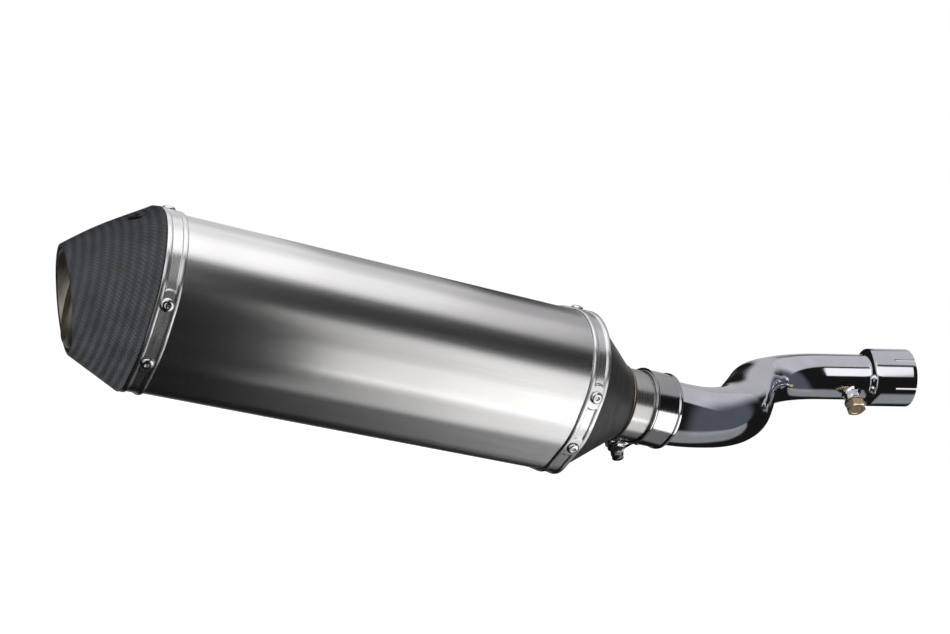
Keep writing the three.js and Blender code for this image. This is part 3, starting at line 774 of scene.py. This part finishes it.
def trunnions():
    """Cross pins with domed ends."""
    half = TRUNNION_WIDTH / 2
    outline = [(-half, 0.0)]
    for k in range(1, 6):
        a = math.pi / 2 * k / 5
        outline.append((-half + 0.0006 * (1 - math.cos(a)), TRUNNION * (0.82 + 0.18 * math.sin(a))))
    outline += [(-x, r) for x, r in reversed(outline)]
    for label, side in (("head", -1), ("nut", 1)):
        place = frame_at(clamp_point(BOLT_X, side * SPREAD, BOLT_REACH), AHEAD, OUTWARD)
        pin = turned("cross_pin_" + label, outline, place, 40)
        wear(pin, "clamp", "clamp_steel", "clamp_trunnion_" + label)


def on_bolt():
    """Frame between the cross pins whose local X points along the bolt towards its nut."""
    return frame_at(clamp_point(BOLT_X, 0, BOLT_REACH), TANGENT, AHEAD)


def clamp_bolt():
    """Bolt with a round head behind the first cross pin and a helical thread through the second."""
    head = -SPREAD - TRUNNION - GAP
    tip = SPREAD + 0.015
    thread_start, thread_end = -0.004, tip - 0.0008
    crest, depth, pitch = 0.0047, 0.00035, 0.001  # the thread stands proud of the bolt's ends
    outline = [(head - 0.0035, 0.0), (head - 0.0035, 0.0044), (head - 0.0029, 0.005)]
    outline += [(head - 0.0003, 0.005), (head, 0.0047), (head, BOLT_RADIUS)]
    outline += [(between(thread_start, thread_end, i / 150), crest) for i in range(151)]
    outline += [(tip - 0.0006, BOLT_RADIUS), (tip, BOLT_RADIUS - 0.0007), (tip, 0.0)]
    rows = []
    for x, radius in outline:
        cut = depth if thread_start < x < thread_end else 0.0
        ring = []
        for a in turns(36):
            phase = (x / pitch + a / (2 * math.pi)) % 1.0
            r = radius - cut * abs(2 * phase - 1)
            ring.append(Vector((x, r * math.cos(a), r * math.sin(a))))
        rows.append(ring)
    bolt = make("clamp_bolt", *grid(placed(on_bolt(), rows)), 70)
    wear(bolt, "clamp", "clamp_steel", "clamp_t_bolt")


def hexagon_head(flat, low, high, face_radius):
    """Three rings of a hexagon: its low end, where its sides meet the cone of its chamfer, its face."""
    rows = [[], [], []]
    for a in turns(96):
        folded = (a + math.pi / 6) % (math.pi / 3) - math.pi / 6
        radius = flat / 2 / math.cos(folded)
        drop = max(0.0, radius - face_radius) * math.tan(math.radians(30))
        for row, x, r in zip(rows, (low, high - drop - 1e-5, high), (radius, radius, face_radius)):
            row.append(Vector((x, r * math.cos(a), r * math.sin(a))))
    return rows


def clamp_nut():
    """Flanged locknut."""
    seat = SPREAD + TRUNNION + GAP
    bore = BOLT_RADIUS + 0.0001
    rows = [circle(seat, bore), circle(seat, 0.0070), circle(seat + 0.0003, 0.0072)]
    rows += [circle(seat + 0.0008, 0.0070), circle(seat + 0.0018, 0.0056)]
    rows += hexagon_head(0.010, seat + 0.0019, seat + 0.0066, 0.0048)
    rows += [circle(seat + 0.0067, 0.0043), circle(seat + 0.0076, 0.0041), circle(seat + 0.0080, 0.0037)]
    rows.append(circle(seat + 0.0080, bore))
    nut = make("clamp_locknut", *grid(placed(on_bolt(), rows), wrap_rows=True), 25)
    wear(nut, "clamp", "clamp_steel", "clamp_nut")


# ---- Link pipe


def pipe_frames():
    """Untwisted side and up directions at each station, set by the slots at the mouth."""
    turn = AHEAD.rotation_difference(FAR_DIRECTION)
    side, up = turn @ Vector((0, 1, 0)), turn @ Vector((0, 0, 1))
    frames = [(side, up)]
    for (_, ahead, _), (_, here, _) in zip(STATIONS[::-1], STATIONS[-2::-1]):
        step = ahead.rotation_difference(here)
        side, up = step @ side, step @ up
        frames.append((side, up))
    return frames[::-1]


def pipe_rings():
    """Rings round the link pipe, with sides lined up with the socket's slots."""
    rings = []
    for (point, _, radius), (side, up) in zip(STATIONS, pipe_frames()):
        ring = []
        for i in range(PIPE_SIDES):
            a = SOCKET_SLOT_TURN + math.pi / 2 + 2 * math.pi * (i - 0.5) / PIPE_SIDES
            ring.append(point + side * (radius * math.cos(a)) + up * (radius * math.sin(a)))
        rings.append(ring)
    return rings


def link_pipe():
    """Bent pipe with an expanded socket and six slots in its end."""
    rings = pipe_rings()
    slotted = len(rings) - 1 - SLOT_STEPS
    sixth = PIPE_SIDES // 6
    mesh = grid(rings, skip=lambda row, column: row >= slotted and column % sixth == 0)
    sheet = make("bent_pipe", *mesh)
    thicken(sheet, PIPE_WALL, 0.00025)
    wear(sheet, "link_pipe", "pipe_polished", "link_pipe")


def plug_place():
    """Frame at the pipe's axis whose local X points out along the plug."""
    lean = Vector((0, -math.sin(PLUG_LEAN), -math.cos(PLUG_LEAN)))
    out = lean - FAR_DIRECTION * lean.dot(FAR_DIRECTION)
    return frame_at(MOUTH - FAR_DIRECTION * PLUG_BACK, out, FAR_DIRECTION)


def plug_boss():
    """Threaded boss whose weld fillet follows the pipe it stands on."""
    rows = []
    for step, radius in enumerate((0.0096, 0.0089, 0.0082, 0.0077, BOSS_RADIUS)):
        ring = circle(0.0, radius)
        for p in ring:
            p.x = math.sqrt(FAR_RADIUS**2 - p.y**2) - 0.0003 + 0.0005 * step**1.5
        rows.append(ring)
    rows += [circle(BOSS_TOP - 0.0005, BOSS_RADIUS), circle(BOSS_TOP - 0.0002, BOSS_RADIUS - 0.0002)]
    rows += [circle(BOSS_TOP, BOSS_RADIUS - 0.0006), circle(BOSS_TOP, PLUG_BORE)]
    rows.append(circle(FAR_RADIUS - 0.0010, PLUG_BORE))
    boss = make("boss", *grid(placed(plug_place(), rows), wrap_rows=True), 40)
    wear(boss, "link_pipe", "pipe_polished", "plug_boss")


def plug_washer():
    low = BOSS_TOP + GAP
    high = low + WASHER_HEIGHT
    corners = [(low, PLUG_BORE), (low, WASHER_RADIUS), (high, WASHER_RADIUS), (high, PLUG_BORE)]
    washer = turned("washer", rounded(corners, 0.0003), plug_place(), 72)
    wear(washer, "link_pipe", "plug_bronze", "plug_washer")


def hex_plug():
    """Hexagon plug with a chamfered face, a collar and its thread inside the boss."""
    base = BOSS_TOP + GAP + WASHER_HEIGHT + GAP
    top = base + PLUG_HEAD
    tip = FAR_RADIUS + 0.0006
    rows = [circle(tip, 0.0), circle(tip, 0.0042), circle(tip + 0.0004, 0.0046), circle(base, 0.0046)]
    rows += [circle(base, 0.0074), circle(base + 0.0004, 0.0078)]
    rows += hexagon_head(PLUG_FLAT, base + 0.0006, top, PLUG_FLAT / 2 - 0.0004)
    rows += [circle(top, 0.0056), circle(top - 0.0003, 0.0052), circle(top - 0.0003, 0.0)]
    plug = make("hexagon_plug", *grid(placed(plug_place(), rows)), 22)
    wear(plug, "link_pipe", "plug_bronze", "hex_plug")


# ---- Materials


class Nodes:
    """A node tree with short ways to add and join nodes."""

    def __init__(self, tree):
        self.tree = tree
        tree.nodes.clear()

    def add(self, kind, inputs=None, **settings):
        node = self.tree.nodes.new(kind)
        for key, value in settings.items():
            setattr(node, key, value)
        for key, value in (inputs or {}).items():
            if isinstance(value, bpy.types.NodeSocket):
                self.tree.links.new(value, node.inputs[key])
            else:
                node.inputs[key].default_value = value
        return node

    def math(self, operation, a, b=0.0):
        return self.add("ShaderNodeMath", {0: a, 1: b}, operation=operation).outputs[0]

    def ramp(self, value, low, high, to_low=0.0, to_high=1.0, soft=False):
        """The value mapped from one range to another, held at its ends."""
        kind = "SMOOTHSTEP" if soft else "LINEAR"
        inputs = {"Value": value, "From Min": low, "From Max": high, "To Min": to_low, "To Max": to_high}
        return self.add("ShaderNodeMapRange", inputs, interpolation_type=kind).outputs["Result"]

    def window(self, value, low, high, soft):
        """1 between low and high, falling off softly on both sides."""
        rise = self.ramp(value, low - soft, low + soft, soft=True)
        fall = self.ramp(value, high - soft, high + soft, 1.0, 0.0, soft=True)
        return self.math("MULTIPLY", rise, fall)

    def position(self, scale):
        """The piece's own coordinates, scaled along each axis."""
        place = self.add("ShaderNodeTexCoord").outputs["Object"]
        return self.add("ShaderNodeMapping", {"Vector": place, "Scale": scale}).outputs["Vector"]

    def noise(self, scale, detail=3.0, roughness=0.6):
        inputs = {"Vector": self.position(scale), "Scale": 1.0, "Detail": detail, "Roughness": roughness}
        return self.add("ShaderNodeTexNoise", inputs).outputs["Fac"]

    def blend(self, share, a, b):
        """Colour between a and b."""
        node = self.add("ShaderNodeMix", {"Factor": share}, data_type="RGBA")
        for socket, value in zip((node.inputs[6], node.inputs[7]), (a, b)):
            if isinstance(value, bpy.types.NodeSocket):
                self.tree.links.new(value, socket)
            else:
                socket.default_value = (*value, 1.0)
        return node.outputs[2]

    def bump(self, height, distance):
        return self.add("ShaderNodeBump", {"Height": height, "Distance": distance}).outputs["Normal"]


def surface(builder):
    """Material named after its builder: one Principled shader, whose inputs come from builder(nodes)."""
    material = bpy.data.materials.new(builder.__name__)
    material.use_nodes = True
    nodes = Nodes(material.node_tree)
    shader = nodes.add("ShaderNodeBsdfPrincipled", builder(nodes))
    nodes.add("ShaderNodeOutputMaterial", {"Surface": shader.outputs["BSDF"]})
    return material


def grained_metal(nodes, colour, dark, scale, roughness, spread, depth):
    """Inputs of a metal whose grain runs along the axes with the smallest scale."""
    grain = nodes.noise(scale, 4.0, 0.65)
    cloud = nodes.noise((9.0, 9.0, 9.0), 2.0)
    rough = nodes.ramp(grain, 0.3, 0.7, roughness - spread, roughness + spread)
    share = nodes.ramp(nodes.math("MULTIPLY", grain, cloud), 0.12, 0.4)
    return {
        "Base Color": nodes.blend(share, dark, colour),
        "Metallic": 1.0,
        "Roughness": rough,
        "Normal": nodes.bump(grain, depth),
    }


def brushed(nodes, inputs, spread, along):
    """Adds highlights spread across the brushing, which runs along the can or round it."""
    inputs["Anisotropic"] = spread
    inputs["Anisotropic Rotation"] = 0.0 if along else 0.25
    inputs["Tangent"] = nodes.add("ShaderNodeTangent", direction_type="RADIAL", axis="X").outputs["Tangent"]
    return inputs


def sleeve_titanium(nodes):
    inputs = grained_metal(
        nodes, (0.60, 0.59, 0.58), (0.52, 0.515, 0.51), (16, 2600, 2600), 0.23, 0.025, 0.000012
    )
    return brushed(nodes, inputs, 0.55, along=True)


def band_steel(nodes):
    inputs = grained_metal(
        nodes, (0.66, 0.66, 0.66), (0.50, 0.50, 0.50), (2200, 40, 40), 0.28, 0.05, 0.000015
    )
    return brushed(nodes, inputs, 0.6, along=False)


def rivet_steel(nodes):
    return grained_metal(
        nodes, (0.72, 0.72, 0.72), (0.50, 0.50, 0.50), (900, 900, 900), 0.17, 0.05, 0.00001
    )


def pipe_polished(nodes):
    return grained_metal(
        nodes, (0.82, 0.83, 0.87), (0.70, 0.71, 0.76), (60, 60, 60), 0.075, 0.025, 0.00001
    )


def cone_steel(nodes):
    return grained_metal(
        nodes, (0.20, 0.195, 0.19), (0.13, 0.128, 0.125), (300, 60, 60), 0.42, 0.05, 0.00002
    )


def bead_steel(nodes):
    """Weld metal with straw and brown heat tints."""
    return grained_metal(
        nodes, (0.42, 0.36, 0.27), (0.20, 0.16, 0.12), (260, 260, 260), 0.34, 0.08, 0.00004
    )


def sleeve_steel(nodes):
    inputs = grained_metal(
        nodes, (0.52, 0.51, 0.495), (0.40, 0.395, 0.385), (1500, 30, 30), 0.27, 0.04, 0.00001
    )
    return brushed(nodes, inputs, 0.5, along=False)


def inner_steel(nodes):
    inputs = grained_metal(
        nodes, (0.56, 0.53, 0.48), (0.40, 0.375, 0.33), (900, 40, 40), 0.40, 0.05, 0.00001
    )
    return brushed(nodes, inputs, 0.6, along=False)


def clamp_steel(nodes):
    return grained_metal(
        nodes, (0.50, 0.505, 0.515), (0.40, 0.405, 0.415), (900, 30, 30), 0.14, 0.04, 0.00001
    )


def plug_bronze(nodes):
    return grained_metal(
        nodes, (0.64, 0.50, 0.33), (0.40, 0.30, 0.19), (420, 420, 420), 0.27, 0.06, 0.00002
    )


def black_steel(nodes):
    grain = nodes.noise((500, 500, 500))
    return {
        "Base Color": nodes.blend(grain, (0.008, 0.008, 0.009), (0.03, 0.03, 0.032)),
        "Metallic": 0.4,
        "Roughness": nodes.ramp(grain, 0.3, 0.7, 0.35, 0.5),
        "Normal": nodes.bump(grain, 0.00002),
    }


def glass_wool(nodes):
    grain = nodes.noise((900, 300, 900), 5.0, 0.7)
    return {
        "Base Color": nodes.blend(grain, (0.55, 0.50, 0.34), (0.85, 0.81, 0.66)),
        "Roughness": 0.95,
        "Normal": nodes.bump(grain, 0.0006),
    }


TOW = 0.0018  # width of one woven tow
TOWS_ROUND = 128  # diagonal repeats of the weave round the cap


def carbon(nodes):
    """2x2 twill laid on the bias: tows cross at 45 degrees, so the twill lines run round the cap."""
    place = nodes.add("ShaderNodeTexCoord").outputs["Object"]
    axis = to_row((0, 0, -0.4 * OUTLET_DROP))
    split = nodes.add("ShaderNodeSeparateXYZ", {"Vector": place})
    y = nodes.math("SUBTRACT", split.outputs["Y"], axis.y)
    z = nodes.math("SUBTRACT", split.outputs["Z"], axis.z)
    u = nodes.math("MULTIPLY", split.outputs["X"], 1 / (TOW * math.sqrt(2)))
    v = nodes.math("MULTIPLY", nodes.math("ARCTAN2", y, z), TOWS_ROUND / (2 * math.pi))
    warp, weft = nodes.math("ADD", v, u), nodes.math("SUBTRACT", v, u)
    step = nodes.math("SUBTRACT", nodes.math("FLOOR", warp), nodes.math("FLOOR", weft))
    over = nodes.math("LESS_THAN", nodes.math("FLOORED_MODULO", step, 4.0), 1.5)
    under = nodes.math("SUBTRACT", 1.0, over)
    over_hump = nodes.ramp(nodes.math("PINGPONG", warp, 0.5), 0.0, 0.35, soft=True)
    under_hump = nodes.ramp(nodes.math("PINGPONG", weft, 0.5), 0.0, 0.35, soft=True)
    over_hump, under_hump = nodes.math("MULTIPLY", over, over_hump), nodes.math("MULTIPLY", under, under_hump)
    hump = nodes.math("ADD", over_hump, under_hump)
    fibre = nodes.noise((1400.0, 1400.0, 1400.0), 3.0)
    cloud = nodes.noise((60.0, 60.0, 60.0), 3.0)
    # Painted sheen: the warp tows that lie over are painted lighter than the weft tows, on top of the fibre
    # noise that is the weave's own tone.
    tone_sheen_and_shade = nodes.math("ADD", nodes.math("MULTIPLY", over, 0.30), nodes.math("MULTIPLY", fibre, 0.9))
    # Painted shade: the colour darkens towards each tow's edges, where its crown falls away.
    tone_sheen_and_shade = nodes.math("MULTIPLY", tone_sheen_and_shade, nodes.ramp(hump, 0.0, 1.0, 0.6, 1.0))
    tone_sheen_and_shade = nodes.math("MULTIPLY", tone_sheen_and_shade, nodes.ramp(cloud, 0.3, 0.7, 0.75, 1.15))
    share = nodes.ramp(tone_sheen_and_shade, 0.15, 0.95)
    return {
        "Base Color": nodes.blend(share, (0.014, 0.0165, 0.019), (0.094, 0.103, 0.114)),
        "Roughness": nodes.ramp(over, 0.0, 1.0, 0.46, 0.56),
        "Specular IOR Level": 0.4,
        "Normal": nodes.bump(nodes.math("ADD", hump, nodes.math("MULTIPLY", fibre, 0.5)), 0.00012),
    }


BUILDERS = (
    sleeve_titanium, band_steel, rivet_steel, pipe_polished, cone_steel, bead_steel, sleeve_steel,
    carbon, inner_steel, clamp_steel, black_steel, plug_bronze, glass_wool,
)
MATERIALS = {builder.__name__: surface(builder) for builder in BUILDERS}


def dress_cad_nodes():
    """Procedural materials on the CAD nodes that are kept as they are and stay shown."""
    slots = {row["node"]: row["material_slot"] for row in frame["record"]["subparts"]}
    for name, obj in frame["nodes"].items():
        if obj.hide_render:
            continue
        obj.data.materials.clear()
        obj.data.materials.append(MATERIALS[slots[name]])


# ---- Studio

# Soft panels of the studio, as windows of light in the world: elevation in degrees from the camera's side
# over the top (-180 to 180), share of the direction along X, edge softness of both, colour and strength.
LILAC = (0.965, 0.955, 1.0)
PANELS = (
    ((56, 132), (-2, 0.78), (3, 0.1), LILAC, 0.58),
    ((132, 172), (0.47, 0.78), (4, 0.04), LILAC, 0.5),
    ((12, 48.5), (-0.9, 0.145), (2, 0.03), (1, 1, 1), 1.15),
    ((-118, -55), (0.42, 2), (7, 0.07), (0.95, 0.98, 1), 0.27),
    ((-75, 110), (0.70, 2), (14, 0.08), (0.8, 0.9, 1.1), 0.10),
    ((-60, 75), (-2, -0.45), (12, 0.1), (1, 1, 1), 0.5),
)
AMBIENT = 0.010
LOW_BACKDROP = 0.2  # light from behind and below, seen along the lower edges


def studio_world():
    """White to the camera; soft panels round the object for everything else."""
    world = bpy.data.worlds.new("studio")
    bpy.context.scene.world = world
    world.use_nodes = True
    nodes = Nodes(world.node_tree)
    toward = nodes.add("ShaderNodeTexCoord").outputs["Generated"]
    split = nodes.add("ShaderNodeSeparateXYZ", {"Vector": toward})
    x, y, z = (split.outputs[axis] for axis in "XYZ")
    rise = nodes.math("MULTIPLY", nodes.math("ARCTAN2", z, nodes.math("MULTIPLY", y, -1.0)), 180 / math.pi)
    behind = nodes.math("MULTIPLY", nodes.ramp(y, 0.72, 0.86, soft=True), nodes.ramp(z, -0.1, -0.3))
    total = (AMBIENT, AMBIENT, AMBIENT)
    levels = [((1, 1, 1), nodes.math("MULTIPLY", behind, LOW_BACKDROP))]
    for rises, sides, (soft_rise, soft_side), colour, power in PANELS:
        up, along = nodes.window(rise, *rises, soft_rise), nodes.window(x, *sides, soft_side)
        levels.append((colour, nodes.math("MULTIPLY", nodes.math("MULTIPLY", up, along), power)))
    for colour, level in levels:
        light = nodes.add("ShaderNodeVectorMath", {0: colour, "Scale": level}, operation="SCALE")
        inputs = {0: total, 1: light.outputs["Vector"]}
        total = nodes.add("ShaderNodeVectorMath", inputs, operation="ADD").outputs["Vector"]
    seen = nodes.add("ShaderNodeLightPath").outputs["Is Camera Ray"]
    colour = nodes.blend(seen, total, (1.0, 1.0, 1.0))
    shade = nodes.add("ShaderNodeBackground", {"Color": colour, "Strength": 1.0})
    nodes.add("ShaderNodeOutputWorld", {"Surface": shade.outputs["Background"]})


def panel(name, stations, near, far, radiance, receivers, layer=0):
    """Soft panel between two stations and two (y, z) points, facing the can, for these receivers only."""
    start, end = (Vector((0, *point)) * (1 + LAYER_GAP * layer) for point in (near, far))
    middle = (start + end) / 2
    facing = (end - start).cross(AHEAD).normalized()
    if facing.dot(middle) > 0:
        facing.negate()
    size = (stations[1] - stations[0], (end - start).length)
    light = bpy.data.lights.new(name, "AREA")
    light.shape = "RECTANGLE"
    light.size, light.size_y = size
    light.energy = 4 * radiance * size[0] * size[1]
    obj = bpy.data.objects.new(name, light)
    bpy.context.scene.collection.objects.link(obj)
    centre = middle + AHEAD * (sum(stations) / 2)
    obj.matrix_world = frame_at(to_row(centre), AHEAD, -facing)
    obj.visible_camera = False
    obj.light_linking.receiver_collection = receivers


def group_of(name, wanted):
    """Collection of the pieces whose names are wanted."""
    group = bpy.data.collections.new(name)
    for obj in bpy.data.objects:
        if wanted(obj.name):
            group.objects.link(obj)
    return group


BRUSHED = ("can_sleeve", "rear_hoop", "front_hoop", "slotted_sleeve", "front_cone")
# Panels round the brushed pieces lie in layers a little apart, so that their light fades along the can:
# where each layer ends (or starts, for the low ones), how far back those overhead reach, its radiance.
OVER_LAYERS = ((0.40, 0.35, 0.30), (0.62, 0.35, 0.42), (0.85, 0.09, 0.32))
BACK_LAYERS = ((0.45, 0.36), (0.74, 0.30))
LOW_LAYERS = ((0.315, 0.30), (0.40, 0.16), (0.48, 0.16), (0.58, 0.27))
LAYER_GAP = 0.03
LIGHT_START = -0.8
LIGHT_END = 1.7


def studio_lights():
    """Soft panels for the brushed pieces, for the clamp and plug, and for the outlet."""
    brushed_pieces = group_of("brushed_pieces", lambda name: name in BRUSHED or "_head_" in name)
    for i, (end, reach, light) in enumerate(OVER_LAYERS):
        panel("over_" + str(i), (LIGHT_START, end), (-0.70, 1.0), (reach, 1.0), light, brushed_pieces, i)
    for i, (end, light) in enumerate(BACK_LAYERS):
        panel("back_" + str(i), (LIGHT_START, end), (0.45, 1.12), (1.70, 0.12), light, brushed_pieces, i)
    for i, (start, light) in enumerate(LOW_LAYERS):
        panel("low_" + str(i), (start, LIGHT_END), (-0.99, 0.14), (-0.10, -0.99), light, brushed_pieces, i)
    panel("low_upper", (0.31, LIGHT_END), (-0.99, 0.14), (-0.49, -0.507), 0.27, brushed_pieces, -2)
    panel("low_strip", (0.29, LIGHT_END), (-0.558, -0.421), (-0.513, -0.478), 1.5, brushed_pieces, -4)
    small_parts = ("clamp_", "strap_", "cross_", "hexagon_", "washer")
    clamp_pieces = group_of("clamp_pieces", lambda name: name.startswith(small_parts))
    panel("clamp_front", (0.50, LIGHT_END), (-0.927, 0.049), (-0.419, -0.598), 2.0, clamp_pieces)
    outlet_pieces = group_of("outlet_pieces", lambda name: name in ("outlet_liner", "outlet_baffle"))
    panel("outlet_front", (-1.2, -0.4), (-0.30, 0.5), (-0.30, -0.5), 3.0, outlet_pieces)


def studio_floor():
    """Pale floor that shades softly, seen only from above."""
    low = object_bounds()[0].z - FLOOR_DROP
    radius, sides = 6.0, 96
    rim = [(radius * math.cos(a), radius * math.sin(a), low) for a in turns(sides)]
    mesh = bpy.data.meshes.new("floor")
    mesh.from_pydata(rim, [], [tuple(range(sides))])
    floor = bpy.data.objects.new("floor", mesh)
    bpy.context.scene.collection.objects.link(floor)
    material = bpy.data.materials.new("pale_floor")
    material.use_nodes = True
    nodes = Nodes(material.node_tree)
    glow = nodes.add("ShaderNodeEmission", {"Color": (1, 1, 1, 1), "Strength": 0.66})
    grain = nodes.noise((3.0, 3.0, 3.0))
    colour = nodes.blend(grain, (0.88, 0.88, 0.88), (0.92, 0.92, 0.92))
    paint = nodes.add("ShaderNodeBsdfDiffuse", {"Color": colour})
    lit = nodes.add("ShaderNodeAddShader", {0: glow.outputs[0], 1: paint.outputs[0]})
    clear = nodes.add("ShaderNodeBsdfTransparent")
    under = nodes.add("ShaderNodeNewGeometry").outputs["Backfacing"]
    mixed = nodes.add("ShaderNodeMixShader", {0: under, 1: lit.outputs[0], 2: clear.outputs[0]})
    nodes.add("ShaderNodeOutputMaterial", {"Surface": mixed.outputs[0]})
    mesh.materials.append(material)
    floor.visible_glossy = False
    floor.visible_shadow = False


def camera():
    """The main camera."""
    data = bpy.data.cameras.new("camera")
    data.lens = CAMERA_LENS
    obj = bpy.data.objects.new("camera", data)
    bpy.context.scene.collection.objects.link(obj)
    level = Matrix.Rotation(-CAMERA_HEADING, 4, "Z") @ Matrix.Rotation(math.pi / 2, 4, "X")
    obj.matrix_world = Matrix.Translation(CAMERA_PLACE) @ level @ Matrix.Rotation(CAMERA_ROLL, 4, "Z")
    bpy.context.scene.camera = obj


# ---- Build

camera()
sleeve()
band("rear_hoop", REAR_BAND_X, "rear_band", plain_pairs=((0, 1),))
band("front_hoop", FRONT_BAND_X, "front_band")
rivets("rear", REAR_BAND_X, "rear_rivet_")
rivets("front", FRONT_BAND_X, "front_rivet_")
end_cap()
outlet_tube()
screw_parts()
baffle()
cone()
weld_bead()
inlet_sleeve()
clamp_band()
clamp_loops()
clamp_bridge()
trunnions()
clamp_bolt()
clamp_nut()
link_pipe()
plug_boss()
plug_washer()
hex_plug()
dress_cad_nodes()
studio_world()
studio_lights()
studio_floor()
bpy.context.scene.view_settings.view_transform = "Standard"
